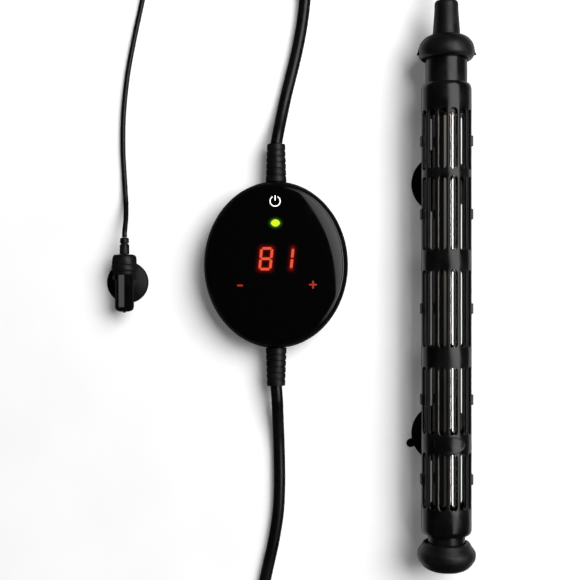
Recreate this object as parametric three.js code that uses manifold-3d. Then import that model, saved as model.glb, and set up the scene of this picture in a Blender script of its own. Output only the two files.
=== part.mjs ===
// Submersible aquarium heater set: a guarded titanium heater on two suction cups, an oval temperature
// controller and a clip-on probe, lying as on a table. Millimetres, +Z up, the floor at z = 0,
// +Y towards the heater's cable end, origin under the middle of the set.
import * as THREE from "three";
import { mergeVertices } from "three/addons/utils/BufferGeometryUtils.js";
import Module from "manifold-3d";

const wasm = await Module();
wasm.setup();

// ---- Clearances -------------------------------------------------------------------------------
const GAP = 0.3; // between pieces that seat on, slide in or turn in each other
const WALL = 2; // moulded plastic walls of the heater's fittings

// ---- Layout of the set ------------------------------------------------------------------------
const LAYOUT_WIDTH = 248.8; // from the probe cup's left edge to the heater cups' right edge
const CONTROLLER_X = -8.2;
const CONTROLLER_Y = 14.3;
const PROBE_Y = 2.6; // middle of the probe's suction cup
const AXIS_HEIGHT = 27; // heater axis above the floor

// ---- Heater: guard ----------------------------------------------------------------------------
const GUARD_LENGTH = 299;
const GUARD_RADIUS = 16.5;
const GUARD_SHOULDER = 3.2; // height of the rounded shoulder at each end of the guard
const GUARD_LIP = 4.2; // height of the inward lips that grip the two holders
const SLOTS_ROUND = 14; // slots side by side round the guard
const SLOT_WIDTH = 5.2;
const SLOT_TOP_LAND = 19.5; // plain wall above the first row
const SLOT_ROW_LENGTHS = [39.3, 47.9, 50.2, 43.8, 36.5];
const SLOT_BRIDGES = [4.5, 13, 12.9, 12.4]; // plain bands between the rows
const LUG_LENGTH = 7; // snap lugs that join the two halves of the guard
const LUG_PROUD = 0.7;
const PLATE_HALF_WIDTH = 11;
const PLATE_HALF_HEIGHT = 5.6;
const PLATE_THICKNESS = 0.9;
const PLATE_DEPTH = 0.6; // depth of the plate's pocket

// ---- Heater: tube and element -----------------------------------------------------------------
const TUBE_RADIUS = 9.5;
const TUBE_WALL = 0.8;
const HOLDER_CEILING = 11; // upper holder's wall above the tube
const CORE_RADIUS = 6;
const COLD_LENGTH = 53; // unheated length at the tube's open end
const CORE_SPIGOT_RADIUS = 3;
const BUSH_LENGTH = 8;
const WIRE_RADIUS = 0.6;
const WINDING_MARGIN = 3; // bare core at each end of the winding
const FUSE_RADIUS = 2.2;
const FUSE_LENGTH = 12;
const SEAL_LENGTH = 12;
const RING_RADIUS = 0.95; // section of the tube's sealing ring

// ---- Heater: holders, collar, boot and foot -----------------------------------------------------
const BOOT_LENGTH = 22;
const BOOT_TIP_RADIUS = 7.85;
const BOOT_BASE_RADIUS = 9.2;
const COLLAR_HEIGHT = 16;
const COLLAR_RADIUS = 18.75;
const NECK_RADIUS = 13.65;
const NECK_SHOWN = 15.5; // neck between the collar and the guard
const NECK_IN_COLLAR = 11;
const HOLDER_IN_GUARD = 22.5; // how far the upper holder reaches down inside the guard
const FOOT_NECK_RADIUS = 12.3;
const FOOT_NECK_SHOWN = 4.3;
const FOOT_NECK_IN_FOOT = 13;
const FOOT_HOLDER_IN_GUARD = 13.5;
const FOOT_HEIGHT = 19.3;
const FOOT_RADIUS = 18.5;

// ---- Heater: suction cups -----------------------------------------------------------------------
const CUP_RADIUS = 20;
const CUP_NECK_RADIUS = 4.5;
const CUP_NECK_TOP = 9.5; // height of the shoulder that seats under the guard's socket
const CUP_STUD_RADIUS = 2.9;
const CUP_HEAD_RADIUS = 4.4;
const CUP_HEAD_HEIGHT = 2.4;
const CUP_TAB_REACH = 4.4;
const CUP_TAB_WIDTH = 5.6;
const CUP_TAB_THICKNESS = 1.4;
const UPPER_CUP_FROM_GUARD_TOP = 64.5;
const UPPER_TAB_TURN = 108; // degrees
const LOWER_TAB_TURN = 198;
const LOWER_CUP_ABOVE_PLATE = 2;
const SOCKET_RADIUS = 7;
const SOCKET_DEPTH = 3.3;

// ---- Controller: housing ------------------------------------------------------------------------
const CONTROLLER_WIDTH = 96.5;
const CONTROLLER_LENGTH = 111.7;
const PARTING_HEIGHT = 12; // top of the back shell
const HOUSING_TOP = 24.8; // top of the front shell's rim
const HOUSING_WALL = 3;
const HOUSING_FLOOR = 2.2;
const RIM_WIDTH = 4;
const LEDGE_WIDTH = 4; // ledge inside the rim that carries the face panel
const LEDGE_THICKNESS = 2;
const PANEL_THICKNESS = 1;
const PANEL_EDGE = 1.5; // thickness of the panel's stiff edge
const PANEL_CROWN = 1.6; // how far the middle of the panel stands above its edge
const GASKET_WIDTH = 0.8;
const GASKET_HEIGHT = 0.8;
const HOUSING_BOSS_RADIUS = 3.6;
const HOUSING_BOSS_INSET = 9.8; // boss centres, in from both sides of the housing
const SCREW_RADIUS = 1.2;
const SCREW_HEAD_RADIUS = 2.4;
const SCREW_HEAD_HEIGHT = 1.4;
const SCREW_SEAT = 3; // depth of the counterbore in the back shell
const SCREW_REACH = 5.5; // screw length above the parting line

// ---- Controller: board and what it carries --------------------------------------------------------
const BOARD_INSET = 9;
const BOARD_HEIGHT = 14;
const BOARD_THICKNESS = 1.6;
const STANDOFF_RADIUS = 3;
const STANDOFF_PLACE = [0.5, 0.54]; // places are shares of the housing's half width and half length
const STAKE_RADIUS = 1.2; // heat stakes that hold the board down
const STAKE_HEAD_RADIUS = 2.2;
const STAKE_HEAD_HEIGHT = 1;
const DISPLAY_WIDTH = 30;
const DISPLAY_LENGTH = 20;
const DISPLAY_HEIGHT = 7;
const DISPLAY_PLACE = [0, 0.07];
const LED_RADIUS = 2.5;
const LED_HEIGHT = 6.4;
const LED_PLACE = [0, 0.49];
const POWER_KEY_PLACE = [0, 0.745];
const SIDE_KEY_PLACE = [0.5, -0.245];
const SWITCH_SIZE = 6;
const SWITCH_HEIGHT = 3.5;
const PLUNGER_RADIUS = 1.7;
const PLUNGER_SEAT = 1.6; // depth of the plunger's bore in the switch body
const KEY_TRAVEL = 0.25;
const DEEP_PART_HEIGHT = 10.8; // tallest parts under the board
const MICROCONTROLLER_SIZE = 10;
const MICROCONTROLLER_THICKNESS = 1.4;
const MICROCONTROLLER_PLACE = [0.29, -0.465];
const TRANSFORMER_SIZE = [30, 25];
const TRANSFORMER_PLACE = [0.083, 0.465];
const RELAY_SIZE = [19, 15.5];
const RELAY_PLACE = [-0.27, -0.305];
const CAPACITOR_RADIUS = 4.5;
const CAPACITOR_LENGTH = 18;
const CAPACITOR_PLACE = [0.29, -0.235];
const FUSE_GLASS_RADIUS = 2.3;
const FUSE_CAP_RADIUS = 2.6;
const FUSE_GLASS_LENGTH = 12;
const FUSE_CAP_LENGTH = 5;
const FUSE_PLACE = [-0.6, 0.14];

// ---- Strain reliefs and cords ---------------------------------------------------------------------
const CORD_RADIUS = 3.9;
const PROBE_CORD_RADIUS = 1.7;
const RELIEF_LENGTH = 25;
const RELIEF_BASE_RADIUS = 6.9;
const RELIEF_TIP_RADIUS = 5.9;
const RELIEF_GROOVE = 0.9;
const RELIEF_RINGS = 6;
const RELIEF_NECK_RADIUS = 5.2;
const RELIEF_FLANGE = 2.4;
const RELIEF_INNER_GAP = 1.7; // the curved inner wall needs this much room in front of the flange
const COIL_LIFT = 1.2; // room for a coil's tie between its turns and the floor
const COIL_PITCH_GAP = 0.5; // space between neighbouring turns of a coil
const CLIMB_DIP = 0.2; // how far a climbing turn draws in, in turns' spacing
const FLOOR_GAP = 0.1;

// ---- Probe ------------------------------------------------------------------------------------------
const PROBE_AXIS_HEIGHT = 14.5;
const PROBE_RADIUS = 6.35;
const PROBE_WALL = 1.1;
const PROBE_LENGTH = 30; // sleeve, from its closed end to its seat inside the head
const PROBE_HEAD_RADIUS = 8.6;
const PROBE_HEAD_LENGTH = 13.7;
const PROBE_SEAT = 5.2; // how far the sleeve enters the head
const PROBE_RELIEF_RADIUS = 3.25;
const PROBE_RELIEF_LENGTH = 11;
const BEAD_RADIUS = 1.4;
const POTTING_LENGTH = 12;
const CLIP_WIDTH = 3.2;
const CLIP_RING_Y = 3; // the clip's ring sits this far from the middle of its boss
const CLIP_THICKNESS = 1.4;
const CLIP_MOUTH = 100; // degrees left open on top of the clip
const CLIP_BOSS_RADIUS = 4.3;
const CLIP_BOSS_BOTTOM = 4.6;
const CLIP_FLOOR = 1.4; // thickness of the boss under the stud's head
const PROBE_CUP_RADIUS = 14.25;
const PROBE_CUP_NECK_RADIUS = 3.2;
const PROBE_STUD_RADIUS = 2;
const PROBE_STUD_HEAD_RADIUS = 3;
const PROBE_STUD_HEAD_HEIGHT = 1.1;

// ---- Plug and splitter ------------------------------------------------------------------------------
const PLUG_LENGTH = 34;
const PLUG_WIDTH = 26;
const PLUG_THICKNESS = 24;
const PLUG_RELIEF_LENGTH = 20;
const BLADE_LENGTH = 18;
const BLADE_WIDTH = 6.3;
const BLADE_THICKNESS = 1.5;
const BLADE_SPACING = 12.7;
const EARTH_PIN_RADIUS = 2.4;
const EARTH_PIN_LENGTH = 21;
const EARTH_PIN_OFFSET = 11.9;
const SPLITTER_LENGTH = 30;
const SPLITTER_WIDTH = 24;
const SPLITTER_THICKNESS = 12;

// ---- Places worked out from the sizes ---------------------------------------------------------------
const HEATER_LENGTH = BOOT_LENGTH + COLLAR_HEIGHT + NECK_SHOWN + GUARD_LENGTH + FOOT_NECK_SHOWN + FOOT_HEIGHT;
const HEATER_X = LAYOUT_WIDTH / 2 - CUP_RADIUS;
const PROBE_X = PROBE_CUP_RADIUS - LAYOUT_WIDTH / 2;
const BOOT_TIP_Y = HEATER_LENGTH / 2;
const COLLAR_TOP_Y = BOOT_TIP_Y - BOOT_LENGTH;
const COLLAR_RIM_Y = COLLAR_TOP_Y - COLLAR_HEIGHT;
const GUARD_TOP_Y = COLLAR_RIM_Y - NECK_SHOWN;
const GUARD_BOTTOM_Y = GUARD_TOP_Y - GUARD_LENGTH;
const FOOT_LIP_Y = GUARD_BOTTOM_Y - FOOT_NECK_SHOWN;
const FOOT_BOTTOM_Y = FOOT_LIP_Y - FOOT_HEIGHT;
const GUARD_BORE = GUARD_RADIUS - WALL;
const TUBE_BORE = TUBE_RADIUS - TUBE_WALL;
const NECK_TOP_Y = COLLAR_RIM_Y + NECK_IN_COLLAR;
const HOLDER_END_Y = GUARD_TOP_Y - HOLDER_IN_GUARD;
const TUBE_TOP_Y = NECK_TOP_Y - HOLDER_CEILING - GAP;
const TUBE_END_Y = GUARD_BOTTOM_Y + GUARD_LIP + WALL;
const CORE_TOP_Y = TUBE_TOP_Y - COLD_LENGTH;
const CORE_BOTTOM_Y = TUBE_END_Y + TUBE_RADIUS + BUSH_LENGTH + GAP;
const RING_Y = HOLDER_END_Y + 6;
const CABLE_BORE = CORD_RADIUS + GAP;
const UPPER_CUP_Y = GUARD_TOP_Y - UPPER_CUP_FROM_GUARD_TOP;
const [ROW_1, ROW_2, ROW_3, ROW_4] = SLOT_ROW_LENGTHS;
const [BRIDGE_1, BRIDGE_2, BRIDGE_3, BRIDGE_4] = SLOT_BRIDGES;
const ROWS_ABOVE_PLATE = ROW_1 + ROW_2 + ROW_3 + ROW_4 + BRIDGE_1 + BRIDGE_2 + BRIDGE_3;
const PLATE_Y = GUARD_TOP_Y - SLOT_TOP_LAND - ROWS_ABOVE_PLATE - BRIDGE_4 / 2;
const LOWER_CUP_Y = PLATE_Y + LOWER_CUP_ABOVE_PLATE;

// ---- Small helpers ------------------------------------------------------------------------------------
function solidOf(geometry) {
  const loose = geometry.index ? geometry.toNonIndexed() : geometry.clone();
  loose.deleteAttribute("normal");
  loose.deleteAttribute("uv");
  const merged = mergeVertices(loose, 1e-4);
  const mesh = new wasm.Mesh({
    numProp: 3,
    vertProperties: merged.attributes.position.array,
    triVerts: new Uint32Array(merged.index.array),
  });
  return new wasm.Manifold(mesh);
}

function geometryOf(solid) {
  const mesh = solid.getMesh();
  const geometry = new THREE.BufferGeometry();
  geometry.setAttribute("position", new THREE.BufferAttribute(mesh.vertProperties, 3));
  geometry.setIndex(new THREE.BufferAttribute(mesh.triVerts, 1));
  geometry.computeVertexNormals();
  return geometry;
}

function join(first, ...others) {
  return geometryOf(others.reduce((solid, other) => solid.add(solidOf(other)), solidOf(first)));
}

function cut(body, ...tools) {
  return geometryOf(tools.reduce((solid, tool) => solid.subtract(solidOf(tool)), solidOf(body)));
}

function keepInside(body, tool) {
  return geometryOf(solidOf(body).intersect(solidOf(tool)));
}

// A solid of revolution about Y. The profile lists [radius, y] anticlockwise, outer side going up.
function turned(profile, sides = 16, start = 0) {
  const points = profile.map(([radius, y]) => new THREE.Vector2(radius, y));
  return new THREE.LatheGeometry(points, sides, start);
}

// The same about Z, with the profile as [radius, z].
function turnedUp(profile, sides = 16) {
  return turned(profile, sides).rotateX(Math.PI / 2);
}

// A ring of revolution: the profile closes on itself.
function ring(profile, sides, start) {
  return turned([...profile, profile[0]], sides, start);
}

function box(width, length, height, x, y, z) {
  return new THREE.BoxGeometry(width, length, height).translate(x, y, z);
}

// An upright round bar from z = bottom to z = top.
function post(radius, bottom, top, x = 0, y = 0, sides = 16) {
  const bar = new THREE.CylinderGeometry(radius, radius, top - bottom, sides).rotateX(Math.PI / 2);
  return bar.translate(x, y, (top + bottom) / 2);
}

// A round bar along Y.
function barAlongY(radius, from, to, sides = 16) {
  return new THREE.CylinderGeometry(radius, radius, to - from, sides).translate(0, (to + from) / 2, 0);
}

// Points on an arc of an upright-lathe profile, from one angle to another, in degrees.
function arc(centreR, centreY, radius, from, to, steps) {
  const points = [];
  for (let i = 0; i <= steps; i += 1) {
    const angle = THREE.MathUtils.degToRad(from + ((to - from) * i) / steps);
    points.push([centreR + radius * Math.cos(angle), centreY + radius * Math.sin(angle)]);
  }
  return points;
}

function roundSection(radius, sides) {
  const shape = new THREE.Shape();
  for (let i = 0; i < sides; i += 1) {
    const angle = (2 * Math.PI * i) / sides;
    const move = i === 0 ? "moveTo" : "lineTo";
    shape[move](radius * Math.cos(angle), radius * Math.sin(angle));
  }
  shape.closePath();
  return shape;
}

function tube(curve, radius, sides, steps) {
  return new THREE.ExtrudeGeometry(roundSection(radius, sides), { steps, extrudePath: curve });
}

function finish(color, roughness, metalness = 0) {
  return new THREE.MeshStandardMaterial({ color, roughness, metalness });
}

const GUARD_PLASTIC = finish(0x0b0b0c, 0.28);
const RUBBER = finish(0x101011, 0.6);
const CUP_RUBBER = finish(0x0c0c0d, 0.4);
const TITANIUM = finish(0xb9b4a8, 0.25, 1);
const CERAMIC = finish(0xe8e4da, 0.7);
const RESISTANCE_WIRE = finish(0x8d8a84, 0.4, 1);
const SILICONE = finish(0x9c4a3a, 0.6);
const HOUSING_PLASTIC = finish(0x070708, 0.12);
const PANEL_GLOSS = finish(0x030304, 0.04);
const BOARD_GREEN = finish(0x14532b, 0.5);
const PART_BLACK = finish(0x17171a, 0.5);
const PART_BLUE = finish(0x1f4fa8, 0.5);
const PART_YELLOW = finish(0xd9b13b, 0.5);
const STEEL = finish(0xc4c6c8, 0.3, 1);
const BRASS = finish(0xc9a24a, 0.3, 1);
const GLASS = finish(0xd8e2e4, 0.08);
const LED_GREEN = finish(0x9be53a, 0.3);
const CORD_JACKET = finish(0x0d0d0e, 0.45);

const set = new THREE.Group();
set.name = "aquarium_heater_set";

function add(group, name, geometry, material) {
  const mesh = new THREE.Mesh(geometry, material);
  mesh.name = name;
  group.add(mesh);
}

// ==== Heater, in a group whose Y axis is the heater's own axis ==========================================
const heater = new THREE.Group();
heater.position.set(HEATER_X, 0, AXIS_HEIGHT);
set.add(heater);

// The slot rows as [lower y, upper y] pairs, from the cable end down.
function slotRows() {
  const rows = [];
  let top = GUARD_TOP_Y - SLOT_TOP_LAND;
  SLOT_ROW_LENGTHS.forEach((length, i) => {
    rows.push([top - length, top]);
    top -= length + (SLOT_BRIDGES[i] ?? 0);
  });
  return rows;
}

// A cutter for one slot: a bar with round ends, lying along Y and pointing along +Z.
function slotCutter(low, high) {
  const half = SLOT_WIDTH / 2;
  const ends = [...arc(0, high - half, half, 0, 180, 3), ...arc(0, low + half, half, 180, 360, 3)];
  const outline = new THREE.Shape(ends.map(([x, y]) => new THREE.Vector2(x, y)));
  return new THREE.ExtrudeGeometry(outline, { depth: GUARD_RADIUS + WALL, bevelEnabled: false });
}

const SLOT_PITCH = (2 * Math.PI) / SLOTS_ROUND;

// Turns the flats of a ring of revolution so that each slot lies on one wide flat and each rib on a narrow
// one.
function faceSlots(geometry) {
  const wide = Math.asin((SLOT_WIDTH / 2 + GAP) / GUARD_BORE);
  const spread = wide / (SLOT_PITCH / 4);
  const place = geometry.attributes.position;
  for (let i = 0; i < place.count; i += 1) {
    const radius = Math.hypot(place.getX(i), place.getZ(i));
    const angle = Math.atan2(place.getX(i), place.getZ(i));
    const middle = (Math.floor(angle / SLOT_PITCH) + 0.5) * SLOT_PITCH;
    const turn = middle + (angle - middle) * spread;
    place.setX(i, radius * Math.sin(turn));
    place.setZ(i, radius * Math.cos(turn));
  }
  return geometry;
}

// The guard's wall before its slots: rounded shoulders, and lips at both ends that grip the holders.
function guardWall() {
  const shoulder = GUARD_SHOULDER;
  const topLip = NECK_RADIUS + GAP;
  const footLip = FOOT_NECK_RADIUS + GAP;
  const wall = ring(
    [
      [footLip, GUARD_BOTTOM_Y],
      [GUARD_RADIUS - shoulder * 0.65, GUARD_BOTTOM_Y],
      [GUARD_RADIUS, GUARD_BOTTOM_Y + shoulder * 0.6],
      [GUARD_RADIUS, GUARD_TOP_Y - shoulder],
      [GUARD_RADIUS - shoulder * 0.25, GUARD_TOP_Y - shoulder * 0.4],
      [GUARD_RADIUS - shoulder * 0.65, GUARD_TOP_Y],
      [topLip, GUARD_TOP_Y],
      [topLip, GUARD_TOP_Y - GUARD_LIP],
      [GUARD_BORE, GUARD_TOP_Y - GUARD_LIP],
      [GUARD_BORE, GUARD_BOTTOM_Y + GUARD_LIP],
      [footLip, GUARD_BOTTOM_Y + GUARD_LIP],
    ],
    2 * SLOTS_ROUND,
    SLOT_PITCH / 4,
  );
  return faceSlots(wall);
}

// One half of the guard: side +1 is the front, -1 the back that carries the suction cups.
function guardHalf(side) {
  const reach = 2 * GUARD_RADIUS;
  const halfSpace = box(reach * 2, GUARD_LENGTH + reach, reach, 0, 0, side * (reach / 2 + GAP / 2));
  halfSpace.translate(0, (GUARD_TOP_Y + GUARD_BOTTOM_Y) / 2, 0);
  const cutters = [];
  for (const [low, high] of slotRows()) {
    for (let i = 0; i < SLOTS_ROUND; i += 1) {
      const turn = (i + 0.5) * SLOT_PITCH;
      if (side * Math.cos(turn) > -0.1) {
        cutters.push(slotCutter(low, high).rotateY(turn));
      }
    }
  }
  return cut(keepInside(guardWall(), halfSpace), ...cutters);
}

// A snap lug in the side slot at mid-row: it hangs from the front half and hooks the back half's rib.
function snapLug(y, side) {
  const rib = SLOT_WIDTH / 2;
  const thickness = WALL + LUG_PROUD;
  const middle = side * (GUARD_RADIUS + LUG_PROUD - thickness / 2);
  return box(thickness, LUG_LENGTH, 2 * rib + 1.4 - GAP, middle, y, 0.7 + GAP / 2);
}

// The oval outline of the name plate as a bar pointing along +Z.
function plateBar(grow) {
  const outline = new THREE.Shape();
  outline.absellipse(0, 0, PLATE_HALF_WIDTH + grow, PLATE_HALF_HEIGHT + grow, 0, 2 * Math.PI);
  const bar = new THREE.ExtrudeGeometry(outline, {
    depth: GUARD_RADIUS + WALL,
    bevelEnabled: false,
    curveSegments: 8,
  });
  return bar.translate(0, PLATE_Y, 0);
}

function plateSleeve(inner, outer) {
  const low = PLATE_Y - PLATE_HALF_HEIGHT - WALL;
  const high = PLATE_Y + PLATE_HALF_HEIGHT + WALL;
  return ring([[inner, low], [outer, low], [outer, high], [inner, high]], 28);
}

function guardFront() {
  const lugs = slotRows().flatMap(([low, high]) => [-1, 1].map((side) => snapLug((low + high) / 2, side)));
  const pocket = keepInside(plateBar(GAP), plateSleeve(GUARD_RADIUS - PLATE_DEPTH, GUARD_RADIUS + WALL));
  return cut(join(guardHalf(1), ...lugs), pocket);
}

function guardPlate() {
  const floor = GUARD_RADIUS - PLATE_DEPTH + GAP;
  return keepInside(plateBar(0), plateSleeve(floor, floor + PLATE_THICKNESS));
}

// A round socket on the back half, bored for a suction cup's stud.
function cupSocket(y) {
  const bottom = CUP_NECK_TOP + GAP - AXIS_HEIGHT;
  return {
    boss: post(SOCKET_RADIUS, bottom, bottom + SOCKET_DEPTH, 0, y, 20),
    bore: post(CUP_STUD_RADIUS + GAP, bottom - 1, bottom + SOCKET_DEPTH + WALL, 0, y, 16),
  };
}

function guardBack() {
  const sockets = [UPPER_CUP_Y, LOWER_CUP_Y].map(cupSocket);
  const withBosses = join(guardHalf(-1), ...sockets.map((socket) => socket.boss));
  return cut(withBosses, ...sockets.map((socket) => socket.bore));
}

function heatingTube() {
  const inner = TUBE_BORE;
  return turned([
    ...arc(0, TUBE_END_Y + TUBE_RADIUS, TUBE_RADIUS, -90, 0, 3),
    [TUBE_RADIUS, TUBE_TOP_Y],
    [inner, TUBE_TOP_Y],
    ...arc(0, TUBE_END_Y + TUBE_RADIUS, inner, 0, -90, 3),
  ]);
}

// The ceramic core: a flange at the bottom centres it in the tube, a spigot at the top enters the bush.
function elementCore() {
  const spigot = BUSH_LENGTH;
  const flange = TUBE_BORE - GAP;
  return turned(
    [
      [0, CORE_BOTTOM_Y - spigot],
      [flange, CORE_BOTTOM_Y - spigot],
      [flange, CORE_BOTTOM_Y],
      [CORE_RADIUS, CORE_BOTTOM_Y],
      [CORE_RADIUS, CORE_TOP_Y],
      [CORE_SPIGOT_RADIUS, CORE_TOP_Y],
      [CORE_SPIGOT_RADIUS, CORE_TOP_Y + spigot],
      [0, CORE_TOP_Y + spigot],
    ],
    12,
  );
}

function endBush() {
  const bore = CORE_SPIGOT_RADIUS + GAP;
  const rim = TUBE_BORE - GAP;
  const low = CORE_TOP_Y + GAP;
  return ring([[bore, low], [rim, low], [rim, low + BUSH_LENGTH], [bore, low + BUSH_LENGTH]], 14);
}

// The resistance wire, close-wound on the core, as one sleeve.
function elementWinding() {
  const inner = CORE_RADIUS + GAP;
  const outer = inner + 2 * WIRE_RADIUS;
  const low = CORE_BOTTOM_Y + WINDING_MARGIN;
  const high = CORE_TOP_Y - WINDING_MARGIN;
  return ring([[inner, low], [outer, low], [outer, high], [inner, high]], 14);
}

function tubeSeal() {
  const bore = FUSE_RADIUS;
  const rim = TUBE_BORE - GAP;
  const low = TUBE_TOP_Y - SEAL_LENGTH;
  return ring([[bore, low], [rim, low], [rim, TUBE_TOP_Y], [bore, TUBE_TOP_Y]], 14);
}

function sealingRing() {
  const middle = TUBE_RADIUS + GAP + RING_RADIUS;
  return new THREE.TorusGeometry(middle, RING_RADIUS, 5, 16).rotateX(Math.PI / 2).translate(0, RING_Y, 0);
}

// The upper holder: a neck under the collar, a flange inside the guard, bored for the tube.
function tubeHolderTop() {
  const flange = GUARD_BORE - GAP;
  const bore = TUBE_RADIUS + GAP;
  const groove = TUBE_RADIUS + 2 * GAP + 2 * RING_RADIUS;
  const half = RING_RADIUS + GAP;
  const shoulder = GUARD_TOP_Y - GUARD_LIP - GAP;
  return ring([
    [bore, HOLDER_END_Y],
    [flange, HOLDER_END_Y],
    [flange, shoulder],
    [NECK_RADIUS, shoulder],
    [NECK_RADIUS, NECK_TOP_Y - 1],
    [NECK_RADIUS - 1, NECK_TOP_Y],
    [CABLE_BORE, NECK_TOP_Y],
    [CABLE_BORE, TUBE_TOP_Y + GAP],
    [bore, TUBE_TOP_Y + GAP],
    [bore, RING_Y + half],
    [groove, RING_Y + half],
    [groove, RING_Y - half],
    [bore, RING_Y - half],
  ], 14);
}

// The lower holder: a flange inside the guard with a pocket for the tube's end, and a hollow neck.
function tubeHolderBottom() {
  const flange = GUARD_BORE - GAP;
  const lip = GUARD_BOTTOM_Y + GUARD_LIP + GAP;
  const pocket = TUBE_RADIUS + GAP;
  const neckEnd = FOOT_LIP_Y - FOOT_NECK_IN_FOOT;
  const hollow = FOOT_NECK_RADIUS - WALL;
  return turned([
    [0, TUBE_END_Y - GAP - WALL],
    [hollow, TUBE_END_Y - GAP - WALL],
    [hollow, neckEnd],
    [FOOT_NECK_RADIUS, neckEnd],
    [FOOT_NECK_RADIUS, lip],
    [flange, lip],
    [flange, GUARD_BOTTOM_Y + FOOT_HOLDER_IN_GUARD],
    [pocket, GUARD_BOTTOM_Y + FOOT_HOLDER_IN_GUARD],
    ...arc(0, TUBE_END_Y + TUBE_RADIUS, pocket, 0, -90, 3),
  ], 14);
}

// The rubber collar: a dome over the neck, open below and bored for the cable boot.
function collarGrip() {
  const bore = BOOT_BASE_RADIUS + GAP;
  const ceiling = NECK_TOP_Y + GAP;
  const inside = NECK_RADIUS + GAP;
  const down = (share) => COLLAR_TOP_Y - share * COLLAR_HEIGHT;
  return ring([
    [inside, COLLAR_RIM_Y],
    [COLLAR_RADIUS * 0.88, COLLAR_RIM_Y],
    [COLLAR_RADIUS * 0.985, down(0.84)],
    [COLLAR_RADIUS, down(0.66)],
    [COLLAR_RADIUS * 0.96, down(0.48)],
    [COLLAR_RADIUS * 0.87, down(0.32)],
    [COLLAR_RADIUS * 0.72, down(0.14)],
    [COLLAR_RADIUS * 0.6, COLLAR_TOP_Y],
    [bore, COLLAR_TOP_Y],
    [bore, ceiling],
    [inside, ceiling],
  ]);
}

// The cable boot: a tapered nozzle that stands on the neck and passes through the collar.
function cableBoot() {
  const foot = NECK_TOP_Y + GAP;
  return ring([
    [CABLE_BORE, foot],
    [BOOT_BASE_RADIUS, foot],
    [BOOT_BASE_RADIUS, COLLAR_TOP_Y],
    [BOOT_BASE_RADIUS * 0.93, COLLAR_TOP_Y + BOOT_LENGTH * 0.3],
    [BOOT_TIP_RADIUS, BOOT_TIP_Y - BOOT_LENGTH * 0.25],
    [BOOT_TIP_RADIUS, BOOT_TIP_Y - 2.5],
    [BOOT_TIP_RADIUS - 1.6, BOOT_TIP_Y],
    [CABLE_BORE, BOOT_TIP_Y],
  ], 14);
}

// The rubber foot: a cup over the lower neck.
function footCap() {
  const bore = FOOT_NECK_RADIUS + GAP;
  const floor = FOOT_LIP_Y - FOOT_NECK_IN_FOOT - GAP;
  const down = (share) => FOOT_LIP_Y - share * FOOT_HEIGHT;
  return turned([
    [0, FOOT_BOTTOM_Y],
    [FOOT_RADIUS * 0.38, down(0.985)],
    [FOOT_RADIUS * 0.75, down(0.85)],
    [FOOT_RADIUS * 0.91, down(0.68)],
    [FOOT_RADIUS, down(0.5)],
    [FOOT_RADIUS, down(0.36)],
    [FOOT_RADIUS * 0.92, down(0.22)],
    [FOOT_RADIUS * 0.85, down(0.08)],
    [FOOT_RADIUS * 0.78, FOOT_LIP_Y],
    [bore, FOOT_LIP_Y],
    [bore, floor],
    [0, floor],
  ]);
}

// A suction cup about Z: a hollow disc with a neck, and a stud with a head that snaps into a socket.
function suctionCup({ radius, neck, neckTop, stud, head, headLow, headHeight }) {
  const lip = radius * 0.045;
  return turnedUp([
    [0, neckTop * 0.36],
    [radius * 0.4, neckTop * 0.27],
    [radius * 0.72, neckTop * 0.13],
    [radius * 0.93, 0],
    [radius, 0],
    [radius, lip],
    [radius * 0.84, neckTop * 0.28],
    [radius * 0.56, neckTop * 0.5],
    [neck * 1.2, neckTop * 0.68],
    [neck, neckTop * 0.8],
    [neck, neckTop],
    [stud, neckTop],
    [stud, headLow],
    [head, headLow],
    [head, headLow + headHeight * 0.4],
    [head * 0.6, headLow + headHeight],
    [0, headLow + headHeight],
  ], 14);
}

function pullTab(turn) {
  const inside = 2;
  const length = inside + CUP_TAB_REACH;
  const tab = box(length, CUP_TAB_WIDTH, CUP_TAB_THICKNESS, CUP_RADIUS - inside + length / 2, 0, 0);
  return tab.translate(0, 0, CUP_TAB_THICKNESS / 2).rotateZ(THREE.MathUtils.degToRad(turn));
}

function heaterCup(y, tabTurn) {
  const cup = suctionCup({
    radius: CUP_RADIUS,
    neck: CUP_NECK_RADIUS,
    neckTop: CUP_NECK_TOP,
    stud: CUP_STUD_RADIUS,
    head: CUP_HEAD_RADIUS,
    headLow: CUP_NECK_TOP + SOCKET_DEPTH + 2 * GAP,
    headHeight: CUP_HEAD_HEIGHT,
  });
  return join(cup, pullTab(tabTurn)).translate(0, y, -AXIS_HEIGHT);
}

add(heater, "guard_front_half", guardFront(), GUARD_PLASTIC);
add(heater, "guard_back_half", guardBack(), GUARD_PLASTIC);
add(heater, "guard_oval_plate", guardPlate(), GUARD_PLASTIC);
add(heater, "heating_tube", heatingTube(), TITANIUM);
add(heater, "element_core", elementCore(), CERAMIC);
add(heater, "element_winding", elementWinding(), RESISTANCE_WIRE);
add(heater, "element_end_bush", endBush(), CERAMIC);
const fuseLow = CORE_TOP_Y + BUSH_LENGTH + GAP;
add(heater, "thermal_fuse", barAlongY(FUSE_RADIUS, fuseLow, fuseLow + FUSE_LENGTH, 10), BRASS);
add(heater, "tube_seal", tubeSeal(), SILICONE);
add(heater, "tube_sealing_ring", sealingRing(), RUBBER);
add(heater, "tube_holder_top", tubeHolderTop(), GUARD_PLASTIC);
add(heater, "tube_holder_bottom", tubeHolderBottom(), GUARD_PLASTIC);
add(heater, "collar_grip", collarGrip(), RUBBER);
add(heater, "cable_boot", cableBoot(), RUBBER);
add(heater, "foot_cap", footCap(), RUBBER);
add(heater, "suction_cup_upper", heaterCup(UPPER_CUP_Y, UPPER_TAB_TURN), CUP_RUBBER);
add(heater, "suction_cup_lower", heaterCup(LOWER_CUP_Y, LOWER_TAB_TURN), CUP_RUBBER);

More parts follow.
